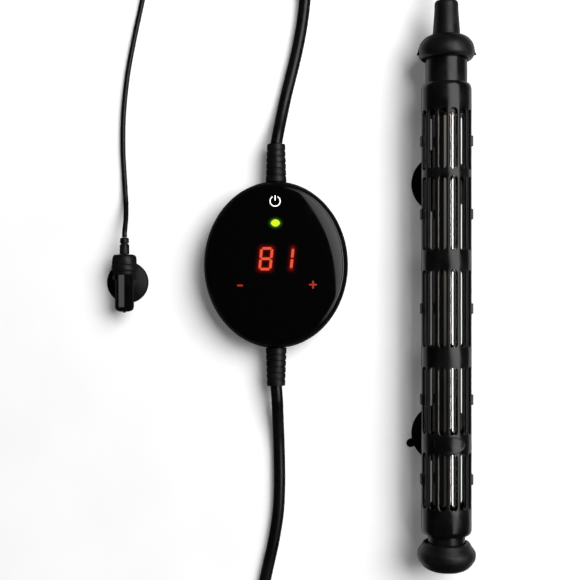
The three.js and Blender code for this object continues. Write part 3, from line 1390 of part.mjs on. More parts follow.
// The probe's thin lead: from the splitter through its coil to the probe's strain relief.
const probeCoil = new CoilCurve({
  centre: [-70, 237],
  outer: 24,
  radius: PROBE_CORD_RADIUS,
  from: 90,
  hand: 1,
  turnsIn: 2.25,
  turnsOut: 2.5,
});
const PROBE_EXIT_Y = PROBE_Y + HEAD_TOP_Y + GAP + PROBE_RELIEF_LENGTH;
stretch("probe_lead_tail", [
  at(probePort.x, probePort.y + GAP, probePort.z),
  at(probePort.x, probePort.y + 2 * PROBE_CORD_RADIUS, probePort.z),
  at(2.6, 255, 4.6),
  at(-8, 262.5, 2.8),
  at(-26, 265, PROBE_CORD_BED),
  at(-46, 263, PROBE_CORD_BED),
  probeCoil.beyond(0, 2 * PROBE_CORD_RADIUS),
  probeCoil.beyond(0, GAP),
], PROBE_CORD_RADIUS);
coil("probe_lead_coil", probeCoil, PROBE_CORD_RADIUS, 18, 5);
stretch("probe_lead", [
  probeCoil.beyond(1, GAP),
  probeCoil.beyond(1, 2 * PROBE_CORD_RADIUS),
  at(-96.4, 216, 3.4),
  at(-99.5, 198, PROBE_CORD_BED),
  at(-105, 172, PROBE_CORD_BED),
  at(-110, 145, PROBE_CORD_BED),
  at(-112.8, 118, PROBE_CORD_BED),
  at(-113.2, 94, PROBE_CORD_BED),
  at(-112.2, 74, PROBE_CORD_BED),
  at(-110.9, 58, 4.2),
  at(-110, 46, 9.6),
  at(PROBE_X, PROBE_EXIT_Y + 2 * PROBE_CORD_RADIUS, PROBE_AXIS_HEIGHT - 0.4),
  at(PROBE_X, PROBE_EXIT_Y + GAP, PROBE_AXIS_HEIGHT),
], PROBE_CORD_RADIUS);

export default set;
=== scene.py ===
"""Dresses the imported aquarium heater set: a guarded titanium heater on suction cups, an oval temperature
controller, a clip-on probe, and the cords that join them. The tables of profiles, routes and places are in
millimetres in the model's own frame. The properties, the lamps and everything that is made are in metres."""

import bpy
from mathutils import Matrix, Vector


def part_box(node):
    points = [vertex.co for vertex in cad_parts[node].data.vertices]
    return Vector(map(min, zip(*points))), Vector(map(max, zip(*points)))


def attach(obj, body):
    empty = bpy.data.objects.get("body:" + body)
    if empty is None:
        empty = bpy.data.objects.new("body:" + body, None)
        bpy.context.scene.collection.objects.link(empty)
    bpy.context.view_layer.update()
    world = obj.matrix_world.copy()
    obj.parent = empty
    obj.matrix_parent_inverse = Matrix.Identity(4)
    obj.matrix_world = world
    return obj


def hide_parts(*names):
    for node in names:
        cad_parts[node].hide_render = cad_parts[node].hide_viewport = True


bl_info = {
    "name": "Aquarium Heater Set",
    "version": (1, 0, 0),
    "blender": (4, 5, 0),
    "location": "View3D > Sidebar > Aquarium Heater",
    "description": "Builds the visible surfaces, finishes, cords and studio of an aquarium heater set",
    "category": "Add Mesh",
}

import bmesh
import bpy
import numpy as np
from bpy.props import FloatProperty, FloatVectorProperty, IntProperty, PointerProperty
from bpy.types import Operator, Panel, PropertyGroup
from mathutils import Matrix, Vector
from mathutils.geometry import delaunay_2d_cdt
from mathutils.kdtree import KDTree

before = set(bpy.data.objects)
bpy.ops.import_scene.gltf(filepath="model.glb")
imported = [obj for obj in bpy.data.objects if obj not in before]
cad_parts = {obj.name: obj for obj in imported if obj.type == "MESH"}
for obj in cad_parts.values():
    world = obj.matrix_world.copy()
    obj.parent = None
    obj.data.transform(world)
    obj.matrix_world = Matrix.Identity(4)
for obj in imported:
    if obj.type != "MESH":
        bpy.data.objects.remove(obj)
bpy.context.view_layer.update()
MM = 0.001
ROOT = "heater_set"


def node_box(name):
    """Lowest and highest corner of a CAD node, in metres, as arrays."""
    return tuple(np.array(corner, float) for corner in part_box(name))


def node_middle(name):
    return sum(node_box(name)) / 2


HEATER_X, _, HEATER_Z = node_middle("heating_tube")
CONTROLLER_X, CONTROLLER_Y, _ = node_middle("back_shell")
PROBE_X, PROBE_Y, _ = node_middle("probe_suction_cup")
PROBE_Z = node_middle("probe_sleeve")[2]


# ---- Sizes, colours and lights that a user may change --------------------------------------------------------
def length(name, description, millimetres):
    return FloatProperty(name=name, description=description, default=millimetres * MM, unit="LENGTH", min=0)


def amount(name, description, value):
    return FloatProperty(name=name, description=description, default=value)


def colour(name, description, value):
    return FloatVectorProperty(name=name, description=description, default=value, subtype="COLOR", min=0, max=1)


class HeaterSizes(PropertyGroup):
    guard_radius: length("Guard radius", "Outer radius of the slotted guard", 16.5)
    guard_wall: length("Guard wall", "Thickness of the guard", 2)
    slot_width: length("Slot width", "Width of each slot across the guard", 5.2)
    slots_round: IntProperty(name="Slots", description="Slots side by side round the guard", default=14, min=6)
    tube_radius: length("Tube radius", "Outer radius of the titanium tube", 9.5)
    collar_radius: length("Collar radius", "Widest radius of the rubber collar", 18.75)
    foot_radius: length("Foot radius", "Widest radius of the rubber foot", 19.2)
    cup_radius: length("Cup radius", "Radius of the heater's suction cups", 20)


class ControllerSizes(PropertyGroup):
    rim_width: length("Rim width", "Width of the housing's rim round the face", 4)
    panel_crown: length("Face crown", "Height of the face's middle above its edge", 1.6)
    segment_width: length("Segment width", "Width of the display's lit segments", 1.95)
    cup_radius: length("Probe cup radius", "Radius of the probe's suction cup", 14.25)


class CordSizes(PropertyGroup):
    cord_diameter: length("Cord diameter", "Diameter of the mains, trunk and heater leads", 7.8)
    probe_cord_diameter: length("Probe cord diameter", "Diameter of the probe's lead", 3.4)
    coil_lift: length("Coil lift", "Room under the coils for their ties", 1.2)


class Colours(PropertyGroup):
    plastic: colour("Guard plastic", "Satin black plastic of the guard", (0.0025, 0.0025, 0.0028))
    gloss: colour("Housing gloss", "Gloss black plastic of the housing and face", (0.001, 0.001, 0.0011))
    rubber: colour("Rubber", "Black rubber of the collar, foot and cups", (0.003, 0.003, 0.0032))
    jacket: colour("Cord jacket", "Black jacket of the cords", (0.0022, 0.0022, 0.0024))
    titanium: colour("Titanium", "Polished titanium of the heating tube", (0.44, 0.425, 0.4))
    digits: colour("Digits", "Lit red of the display and the key marks", (0.92, 0.105, 0.04))
    lamp: colour("Lamp", "Lit green-yellow of the status lamp", (0.8, 1.0, 0.02))


class StudioSettings(PropertyGroup):
    key_radiance: amount("Key light", "Radiance of the key lamp on matte surfaces", 9.3)
    highlight: amount("Highlight", "Radiance of the softbox in reflections", 3.8)
    fill: amount("Fill light", "Radiance of the wide panel that only the titanium tube mirrors", 0.36)
    strip: amount("Strip light", "Radiance of the strip that only the titanium tube mirrors", 16)
    probe: amount("Probe light", "Radiance of the panel that only the probe's sleeve mirrors", 1.4)
    glint: amount("Glint", "Radiance of the strips on the floor that only the heater's gloss mirrors", 0.65)
    floor_lift: amount("Floor lift", "Pale glow of the floor towards the camera", 0.12)


def heater_sizes():
    return bpy.context.scene.aqua_heater


def controller_sizes():
    return bpy.context.scene.aqua_controller


def cord_sizes():
    return bpy.context.scene.aqua_cords


def colours():
    return bpy.context.scene.aqua_colours


# ---- Surfaces ------------------------------------------------------------------------------------------------
def grid_faces(rows, columns, wrap_rows=False):
    """Quads of a grid whose columns close on themselves; the rows may close too."""
    row = np.arange(rows if wrap_rows else rows - 1)[:, None]
    column = np.arange(columns)[None, :]
    following = (column + 1) % columns
    below, above = row * columns, (row + 1) % rows * columns
    quads = [below + column, below + following, above + following, above + column]
    return np.stack(quads, axis=-1).reshape(-1, 4)


def grid(points, wrap_rows=False, close_ends=False):
    """A part of a piece: points of shape (rows, columns, 3). close_ends adds a middle point to both end rows."""
    rows, columns, _ = points.shape
    if close_ends:
        first = np.repeat(points[:1].mean(axis=1, keepdims=True), columns, axis=1)
        last = np.repeat(points[-1:].mean(axis=1, keepdims=True), columns, axis=1)
        points = np.concatenate([first, points, last])
        rows += 2
    return points.reshape(-1, 3), grid_faces(rows, columns, wrap_rows)


def spline(points, count):
    """A centripetal Catmull-Rom curve through the points, at count evenly spaced places along it."""
    p = np.asarray(points, float)
    p = np.concatenate([[2 * p[0] - p[1]], p, [2 * p[-1] - p[-2]]])
    knots = np.concatenate([[0], np.cumsum(np.sqrt(np.linalg.norm(np.diff(p, axis=0), axis=1)))])
    fine = np.linspace(knots[1], knots[-2], count * 8)
    k = np.clip(np.searchsorted(knots, fine, side="right") - 1, 1, len(p) - 3)
    t = [knots[k + i][:, None] for i in (-1, 0, 1, 2)]
    q = [p[k + i] for i in (-1, 0, 1, 2)]
    s = fine[:, None]

    def mix(a, b, ta, tb):
        return ((tb - s) * a + (s - ta) * b) / (tb - ta)

    a1, a2, a3 = mix(q[0], q[1], t[0], t[1]), mix(q[1], q[2], t[1], t[2]), mix(q[2], q[3], t[2], t[3])
    curve = mix(mix(a1, a2, t[0], t[2]), mix(a2, a3, t[1], t[3]), t[1], t[2])
    return evenly(curve, count)


def evenly(curve, count):
    """The same line at count evenly spaced places along its length."""
    run = np.concatenate([[0], np.cumsum(np.linalg.norm(np.diff(curve, axis=0), axis=1))])
    places = np.linspace(0, run[-1], count)
    return np.stack([np.interp(places, run, curve[:, i]) for i in range(curve.shape[1])], axis=1)


def rounded(points, radius, steps=4):
    """A closed profile with every corner replaced by a parabola between two points on its sides, at most 0.4 of a
    side from the corner. A point just outside each parabola keeps the flats' shading flat."""
    p = np.asarray(points, float)
    to_before, to_after = np.roll(p, 1, axis=0) - p, np.roll(p, -1, axis=0) - p
    reach_before = np.linalg.norm(to_before, axis=1, keepdims=True)
    reach_after = np.linalg.norm(to_after, axis=1, keepdims=True)
    cut = np.minimum(radius, 0.4 * np.minimum(reach_before, reach_after))
    step_before, step_after = to_before / reach_before * cut, to_after / reach_after * cut
    start, end = p + step_before, p + step_after
    t = np.linspace(0, 1, steps + 1)[None, :, None]
    bend = (1 - t) ** 2 * start[:, None] + 2 * t * (1 - t) * p[:, None] + t ** 2 * end[:, None]
    outside = [(start + step_before * 0.2)[:, None], (end + step_after * 0.2)[:, None]]
    return np.concatenate([outside[0], bend, outside[1]], axis=1).reshape(-1, 2)


def lathe(profile, centre, along="Y", segments=96, closed=False):
    """A surface of revolution: radius r and height h of the profile, in millimetres, turned through an angle a
    about an axis through centre. About Y: x = r sin a, y = h, z = r cos a. About Z: x = r cos a, y = r sin a,
    z = h. closed joins the profile's end to its start."""
    r, h = np.asarray(profile, float).T[:, :, None]
    a = np.linspace(0, 2 * np.pi, segments, endpoint=False)[None, :]
    r, h = r * MM, h * MM
    flat = h + 0 * a
    turned = [r * np.sin(a), flat, r * np.cos(a)] if along == "Y" else [r * np.cos(a), r * np.sin(a), flat]
    return grid(np.stack(turned, axis=-1) + np.asarray(centre, float), wrap_rows=closed)


def slab(outline, profile, place):
    """A flat piece: a closed outline drawn in by the profile's inset at the profile's height, both in metres.
    place turns plan points (x, y) and a height into points in space. The two ends are closed at their middles."""
    o = np.asarray(outline, float)
    along = np.roll(o, -1, axis=0) - np.roll(o, 1, axis=0)
    outward = np.stack([along[:, 1], -along[:, 0]], axis=1) / np.linalg.norm(along, axis=1, keepdims=True)
    inset, height = np.asarray(profile, float).T
    plan = o[None] - outward[None] * inset[:, None, None]
    points = place(plan[..., 0], plan[..., 1], height[:, None] + 0 * plan[..., 0])
    return grid(points, close_ends=True)


def ellipse(half_width, half_length, count):
    """Outline of an ellipse in metres, from half axes in millimetres."""
    a = np.linspace(0, 2 * np.pi, count, endpoint=False)
    return np.stack([half_width * np.cos(a), half_length * np.sin(a)], axis=1) * MM


def cap(outline, levels, place):
    """A crowned plate: the outline shrunk to each level's share, at the level's height in millimetres."""
    share, height = np.asarray(levels, float).T[:, :, None]
    plan = np.asarray(outline, float)[None] * share[..., None]
    return grid(place(plan[..., 0], plan[..., 1], height * MM + 0 * plan[..., 0]), close_ends=True)


def sweep(path, section, side, up):
    """A closed section (across, above) carried along a path with the given side and up directions."""
    s = np.asarray(section, float)
    points = path[:, None] + side[:, None] * s[None, :, :1] + up[:, None] * s[None, :, 1:]
    return grid(points, close_ends=True)


def tube(path, radius, sides=16):
    """A round tube along a path: at every point a circle in the plane square to the path, level at its sides."""
    ahead = np.gradient(path, axis=0)
    ahead /= np.linalg.norm(ahead, axis=1, keepdims=True)
    side = np.cross(ahead, [0, 0, 1.0])
    side /= np.linalg.norm(side, axis=1, keepdims=True)
    a = np.linspace(0, 2 * np.pi, sides, endpoint=False)
    return sweep(path, radius * np.stack([np.cos(a), np.sin(a)], axis=1), side, np.cross(side, ahead))


def superellipse(power, count):
    """Unit closed outline |x|^p + |y|^p = 1, by the angle."""
    a = np.linspace(0, 2 * np.pi, count, endpoint=False)
    c, s = np.cos(a), np.sin(a)
    return np.stack([np.sign(c) * np.abs(c) ** (2 / power), np.sign(s) * np.abs(s) ** (2 / power)], axis=1)


def loft(stations, place, count=64):
    """A body along one axis. Every station is (position, half width, half height, power) in millimetres, and its
    section is the superellipse of that power. Stations are joined by a smooth curve through them."""
    t = spline(np.asarray(stations, float), 12 * len(stations))
    unit = [superellipse(p, count) for p in np.clip(t[:, 3], 2, 9)]
    sections = np.stack(unit) * t[:, None, 1:3]
    position = np.repeat(t[:, :1], count, axis=1)
    return grid(place(position * MM, sections[..., 0] * MM, sections[..., 1] * MM), close_ends=True)


def piece(name, parts, finish, body=ROOT, slot="guard_plastic", nodes=(), crease=32):
    """Makes one object from its parts, merges doubles, turns all faces outwards and shades it smooth with
    sharp edges above the crease angle. It rides on its body and stands for its CAD nodes."""
    sizes = np.cumsum([0] + [len(points) for points, _ in parts])
    points = np.concatenate([part[0] for part in parts])
    faces = np.concatenate([part[1] + first for part, first in zip(parts, sizes)])
    mesh = bpy.data.meshes.new(name)
    mesh.from_pydata(points.tolist(), [], faces.tolist())
    shape = bmesh.new()
    shape.from_mesh(mesh)
    bmesh.ops.remove_doubles(shape, verts=shape.verts, dist=2e-7)
    bmesh.ops.dissolve_degenerate(shape, dist=1e-8, edges=shape.edges)
    bmesh.ops.recalc_face_normals(shape, faces=shape.faces)
    shape.to_mesh(mesh)
    shape.free()
    mesh.polygons.foreach_set("use_smooth", np.ones(len(mesh.polygons), bool))
    mesh.set_sharp_from_angle(angle=np.radians(crease))
    mesh.materials.append(finish)
    thing = bpy.data.objects.new(name, mesh)
    bpy.context.scene.collection.objects.link(thing)
    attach(thing, body)
    if nodes:
        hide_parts(*nodes)
    return thing


# ---- Finishes ------------------------------------------------------------------------------------------------
class Finish:
    """A procedural material on Object coordinates. Lengths of the patterns are in millimetres."""

    def __init__(self, name, base, roughness, metallic=0.0):
        self.material = bpy.data.materials.new(name)
        self.material.use_nodes = True
        self.tree = self.material.node_tree
        self.shader = self.tree.nodes["Principled BSDF"]
        self.place = self.add("ShaderNodeTexCoord").outputs["Object"]
        self.base = base
        self.set("Base Color", (*base, 1))
        self.set("Roughness", roughness)
        self.set("Metallic", metallic)

    def add(self, kind, **settings):
        node = self.tree.nodes.new(kind)
        for key, value in settings.items():
            setattr(node, key, value)
        return node

    def link(self, output, target):
        self.tree.links.new(output, target)

    def set(self, socket, value):
        self.shader.inputs[socket].default_value = value

    def noise(self, size, detail=2.0, stretch=(1, 1, 1), offset=0.0):
        """Noise with features of about that size, drawn out along an axis by a stretch above 1."""
        mapping = self.add("ShaderNodeMapping")
        mapping.inputs["Scale"].default_value = [1 / s for s in stretch]
        mapping.inputs["Location"].default_value = [offset] * 3
        self.link(self.place, mapping.inputs["Vector"])
        noise = self.add("ShaderNodeTexNoise")
        noise.inputs["Scale"].default_value = 1 / (size * MM)
        noise.inputs["Detail"].default_value = detail
        self.link(mapping.outputs["Vector"], noise.inputs["Vector"])
        return noise.outputs["Fac"]

    def between(self, value, low, high, to_low=0.0, to_high=1.0):
        """The value carried from low..high to another range, clamped."""
        node = self.add("ShaderNodeMapRange", interpolation_type="SMOOTHSTEP")
        for socket, number in zip(("From Min", "From Max", "To Min", "To Max"), (low, high, to_low, to_high)):
            node.inputs[socket].default_value = number
        self.link(value, node.inputs["Value"])
        return node.outputs["Result"]

    def blend(self, factor, first, second):
        """Colour mix: first and second are colours or outputs."""
        node = self.add("ShaderNodeMix", data_type="RGBA")
        self.link(factor, node.inputs["Factor"])
        for socket, value in ((node.inputs[6], first), (node.inputs[7], second)):
            if isinstance(value, tuple):
                socket.default_value = (*value, 1)
            else:
                self.link(value, socket)
        return node.outputs[2]

    def calculate(self, operation, first, second):
        node = self.add("ShaderNodeMath", operation=operation)
        for socket, value in zip(node.inputs, (first, second)):
            if isinstance(value, (int, float)):
                socket.default_value = value
            else:
                self.link(value, socket)
        return node.outputs[0]

    def bump(self, height, depth):
        """Relief of that depth in millimetres, over any relief set before."""
        node = self.add("ShaderNodeBump")
        node.inputs["Strength"].default_value = 1
        node.inputs["Distance"].default_value = depth * MM
        self.link(height, node.inputs["Height"])
        earlier = self.shader.inputs["Normal"].links
        if earlier:
            self.link(earlier[0].from_socket, node.inputs["Normal"])
        self.link(node.outputs["Normal"], self.shader.inputs["Normal"])


SHEEN = 0.5  # reflectance of the gloss pieces; the satin plastics and rubbers have less
DUST_TONE = (0.35, 0.35, 0.34)


def moulded(name, base, roughness, spread, grain, grain_depth, dust=0.06, coat=0.0, sheen=SHEEN):
    """Moulded plastic or rubber: a cloudy tone, uneven gloss, a fine grain and a few dust specks."""
    f = Finish(name, base, roughness)
    f.set("Specular IOR Level", sheen)
    cloud = f.noise(14, 3)
    lighter = tuple(min(1, c * 1.9 + 0.001) for c in base)
    tone = f.blend(f.between(cloud, 0.35, 0.7), base, lighter)
    specks = f.between(f.noise(0.5, 1, offset=3.1), 0.72, 0.8)
    lint = f.calculate("MULTIPLY", specks, dust)
    f.link(f.blend(lint, tone, DUST_TONE), f.shader.inputs["Base Color"])
    uneven = f.between(f.noise(6, 3, offset=1.7), 0.3, 0.7, roughness - spread, roughness + spread)
    dull = f.calculate("MULTIPLY", lint, 1.5)
    f.link(f.calculate("ADD", uneven, dull), f.shader.inputs["Roughness"])
    f.bump(f.noise(grain, 2, offset=0.4), grain_depth)
    if coat:
        f.set("Coat Weight", coat)
        f.set("Coat IOR", 1.2)
        f.set("Coat Roughness", 0.04)
    return f


def finish_named(name, make):
    """The material of that name, made once."""
    return bpy.data.materials.get(name) or make().material


def moulded_once(name, *settings, **more):
    return finish_named(name, lambda: moulded(name, *settings, **more))


def guard_finish():
    """Satin-gloss black plastic with faint flow marks along the guard and a fine parting line at its sides."""

    def make():
        base = tuple(colours().plastic)
        f = moulded("satin_black_plastic", base, 0.2, 0.05, grain=0.35, grain_depth=0.006, dust=0.05, sheen=0.34)
        f.bump(f.noise(6, 1, stretch=(1, 9, 1), offset=2.2), 0.006)
        split = f.add("ShaderNodeSeparateXYZ")
        f.link(f.place, split.inputs[0])
        off_seam = f.calculate("ABSOLUTE", f.calculate("SUBTRACT", split.outputs["Z"], float(HEATER_Z)), 0)
        f.bump(f.between(off_seam, 0.05 * MM, 0.25 * MM), 0.12)
        return f

    return finish_named("satin_black_plastic", make)


def smooth_plastic():
    """The same plastic for the fittings that have no parting line."""
    base = tuple(colours().plastic)
    return moulded_once("fitting_black_plastic", base, 0.24, 0.05, grain=0.4, grain_depth=0.006, sheen=0.3)


def gloss_housing():
    base = tuple(colours().gloss)
    return moulded_once("gloss_black_housing", base, 0.1, 0.03, grain=1.5, grain_depth=0.002, dust=0.02, coat=0.5)


def rubber():
    base = tuple(colours().rubber)
    return moulded_once("black_rubber", base, 0.42, 0.08, grain=0.28, grain_depth=0.02, dust=0.16, sheen=0.3)


def soft_rubber():
    base = tuple(colours().rubber)
    return moulded_once("soft_black_rubber", base, 0.34, 0.07, grain=0.5, grain_depth=0.01, dust=0.1, sheen=0.25)


def jacket():
    """Cord jacket: semi-gloss, slightly wavy where the cores press through."""

    def make():
        f = moulded("black_jacket", tuple(colours().jacket), 0.3, 0.05, grain=0.3, grain_depth=0.006, sheen=0.3)
        f.bump(f.noise(6, 1, offset=5.5), 0.03)
        return f

    return finish_named("black_jacket", make)


def titanium():
    """Polished titanium: fine turning marks round the tube and a slightly uneven warm tone."""

    def make():
        plain = tuple(colours().titanium)
        warm = tuple(c * w for c, w in zip(plain, (1.05, 0.99, 0.92)))
        f = Finish("polished_titanium", plain, 0.13, 1.0)
        f.link(f.blend(f.between(f.noise(9, 3), 0.3, 0.7), plain, warm), f.shader.inputs["Base Color"])
        turned = f.noise(2, 2, stretch=(4, 0.2, 4))
        f.link(f.between(turned, 0.3, 0.7, 0.055, 0.085), f.shader.inputs["Roughness"])
        f.bump(f.noise(2, 2, stretch=(6, 0.2, 6), offset=1.1), 0.00004)
        return f

    return finish_named("polished_titanium", make)


def metal(name, base, roughness):
    """Plain drawn metal with fine lengthwise marks."""

    def make():
        f = Finish(name, base, roughness, 1.0)
        darker = tuple(c * 0.8 for c in base)
        f.link(f.blend(f.between(f.noise(4, 3), 0.35, 0.7), base, darker), f.shader.inputs["Base Color"])
        f.link(
            f.between(f.noise(0.8, 2, stretch=(5, 1, 1)), 0.3, 0.7, roughness - 0.06, roughness + 0.1),
            f.shader.inputs["Roughness"],
        )
        f.bump(f.noise(0.3, 2, stretch=(8, 1, 1)), 0.002)
        return f

    return finish_named(name, make)


def painted(name, base, roughness, grain=0.5, grain_depth=0.01):
    """Plain component material: a cloudy tone and a fine grain."""
    return moulded_once(name, base, roughness, 0.06, grain, grain_depth)


def board():
    """Circuit board: green solder mask over straight traces."""

    def make():
        f = Finish("circuit_board", (0.012, 0.1, 0.03), 0.35)
        traces = f.between(f.noise(2.4, 0, stretch=(1, 12, 1)), 0.5, 0.53)
        f.link(f.blend(traces, (0.01, 0.08, 0.025), (0.02, 0.17, 0.05)), f.shader.inputs["Base Color"])
        f.bump(traces, 0.03)
        return f

    return finish_named("circuit_board", make)


def lit(name, core, edge):
    """A lit mark under the gloss face: the piece's glow attribute carries it from a dark rim to a bright core."""

    def make():
        f = Finish(name, (0.004, 0.003, 0.003), 0.12)
        f.set("Specular IOR Level", SHEEN)
        glow = f.add("ShaderNodeAttribute", attribute_name="glow").outputs["Fac"]
        tone = f.blend(f.between(glow, 0.0, 0.55), edge, core)
        flicker = f.between(f.noise(0.6, 1), 0.2, 0.8, 0.92, 1.0)
        rim = f.calculate("MULTIPLY", f.between(glow, -0.15, 0.3), flicker)
        f.link(tone, f.shader.inputs["Emission Color"])
        f.link(rim, f.shader.inputs["Emission Strength"])
        return f

    return finish_named(name, make)


def white_print_painted_glow():
    """White ink printed on the face, slightly uneven, with a painted glow: a white emission that makes it brighter
    than its light.
    """

    def make():
        f = Finish("white_print_painted_glow", (0.86, 0.86, 0.86), 0.4)
        f.link(
            f.blend(f.between(f.noise(0.3, 2), 0.3, 0.6), (0.8, 0.8, 0.8), (0.92, 0.92, 0.92)),
            f.shader.inputs["Base Color"],
        )
        # painted glow: the printed ink emits white light of its own, though it is no lamp
        f.set("Emission Color", (1, 1, 1, 1))
        f.set("Emission Strength", 0.55)
        return f

    return finish_named("white_print_painted_glow", make)


def round_rectangle(width, height, radius, count=6):
    """Outline in metres of a rectangle with round corners, anticlockwise, from sizes in millimetres."""
    a = np.linspace(0, np.pi / 2, count + 1)
    turn = np.arange(4)[:, None] * np.pi / 2
    corner = np.array([[1, 1], [-1, 1], [-1, -1], [1, -1]]) * [width / 2 - radius, height / 2 - radius]
    x = corner[:, :1] + radius * np.cos(a + turn)
    y = corner[:, 1:] + radius * np.sin(a + turn)
    return np.stack([x.ravel(), y.ravel()], axis=1) * MM


# ---- Cords ---------------------------------------------------------------------------------------------------
COIL_PITCH_GAP = 0.5
CLIMB_DIP = 0.2
CLIMB_TURNS = 0.5
COIL_STEPS = 64  # places on the route for each turn
LEAD_STEPS = 12  # places on the route for each point before or after the coil
TIE_GAP = 0.35
TIE_HALF_WIDTH = 2.5
TIE_SECTION = np.array([[0, -2.4], [0.35, -2.5], [0.6, -2.1], [0.6, 2.1], [0.35, 2.5], [0, 2.4]])


class Coil:
    """A cord put away in a round coil of two layers, in millimetres. It spirals in on the lower layer, climbs
    within CLIMB_TURNS at the inside and spirals out on top. Both ends run straight for one cord diameter."""

    def __init__(self, centre, outer, radius, start, hand, turns_in, turns_out):
        self.centre, self.outer, self.radius, self.hand = np.array(centre, float), outer, radius, hand
        self.start, self.turns_in = np.radians(start), turns_in
        self.pitch = 2 * radius + COIL_PITCH_GAP
        self.low = radius + cord_sizes().coil_lift / MM
        self.turns = turns_in + CLIMB_TURNS + turns_out

    def at(self, turn):
        """Radius = outer - pitch (turns inward - turns outward) - a dip while climbing; the height rises by one
        pitch along a smooth step in the climb."""
        turn = np.asarray(turn, float)
        climb = np.clip((turn - self.turns_in) / CLIMB_TURNS, 0, 1)
        inward, outward = np.minimum(turn, self.turns_in), np.maximum(0, turn - self.turns_in - CLIMB_TURNS)
        radius = self.outer - self.pitch * (inward - outward) - CLIMB_DIP * self.pitch * np.sin(np.pi * climb)
        angle = self.start + self.hand * 2 * np.pi * turn
        height = self.low + self.pitch * climb * climb * (3 - 2 * climb)
        x, y = self.centre
        return np.stack([x + radius * np.cos(angle), y + radius * np.sin(angle), height], axis=-1)

    def beyond(self, turn, distance):
        """A point outside an end of the coil, on its straight line."""
        angle = self.start + self.hand * (2 * np.pi * turn + np.pi / 2)
        way = -1 if turn == 0 else 1
        return self.at(turn) + way * distance * np.array([np.cos(angle), np.sin(angle), 0])

    def route(self, before, after):
        """The whole cord: points before the coil, the coil, points after it."""
        ends = [2 * self.radius, 1]
        lead_in = [*before, *(self.beyond(0, d) for d in ends)]
        lead_out = [*(self.beyond(self.turns, d) for d in reversed(ends)), *after]
        turns = self.at(np.linspace(0, self.turns, int(self.turns * COIL_STEPS)))
        before, after = (spline(points, LEAD_STEPS * len(points)) for points in (lead_in, lead_out))
        return evenly(np.concatenate([before, turns, after]), len(before) + len(turns) + len(after))

    def tie(self, name, route, degrees):
        """A strap round the coil's bundle: a flat band on a rounded rectangle that clears the turns by TIE_GAP."""
        across = route[:, :2] - self.centre
        angle = np.radians(degrees)
        facing = np.array([np.cos(angle), np.sin(angle)])
        beside = np.abs(across @ [-facing[1], facing[0]]) < TIE_HALF_WIDTH
        near = beside & (across @ facing > 0) & (np.linalg.norm(across, axis=1) < self.outer + self.radius)
        radial, height = across[near] @ facing, route[near, 2]
        low = np.array([radial.min(), height.min()]) - self.radius - TIE_GAP
        high = np.array([radial.max(), height.max()]) + self.radius + TIE_GAP
        width, tall = high - low
        loop = round_rectangle(width, tall, self.radius, 8) / MM + (low + high) / 2
        outward = loop - (low + high) / 2
        outward /= np.linalg.norm(outward, axis=1, keepdims=True)
        spread = loop[:, None] + outward[:, None] * TIE_SECTION[None, :, :1]
        along = np.broadcast_to(TIE_SECTION[None, :, 1:], (*spread.shape[:2], 1))
        side = np.array([-facing[1], facing[0], 0])
        points = np.array([*self.centre, 0]) + spread[..., :1] * [*facing, 0] + spread[..., 1:] * [0, 0, 1]
        strap = grid((points + along * side) * MM, wrap_rows=True)
        return piece(name, [strap], rubber(), slot="rubber")


def cord(name, nodes, route, diameter):
    """A cord as a round tube along its route."""
    path = np.asarray(route) * MM
    thing = piece(name, [tube(path, diameter / 2)], jacket(), slot="cord_jacket", nodes=nodes, crease=60)


RELIEF_LENGTH = 25  # of the controller's reliefs
RELIEF_HEIGHT = 12.15
SPLITTER_MIDDLE = (12, 229, 6.1)
SPLITTER_HALF = 15
PORT_OFFSET = 6.5
PLUG_PLACE = (74, -319.6, 12.1)
PLUG_RELIEF = 20  # length of the relief behind PLUG_PLACE
PLUG_FACE = 34  # distance of the pins' face before it
PROBE_EXIT = (-110.15, 32.6, 14.5)
BOOT_TIP = 188.05
BED = 4.0  # height of a heavy cord's middle where it lies on the floor
PROBE_BED = 1.8  # the same for the probe's cord
GAP = 0.3  # clearance between pieces that seat in each other


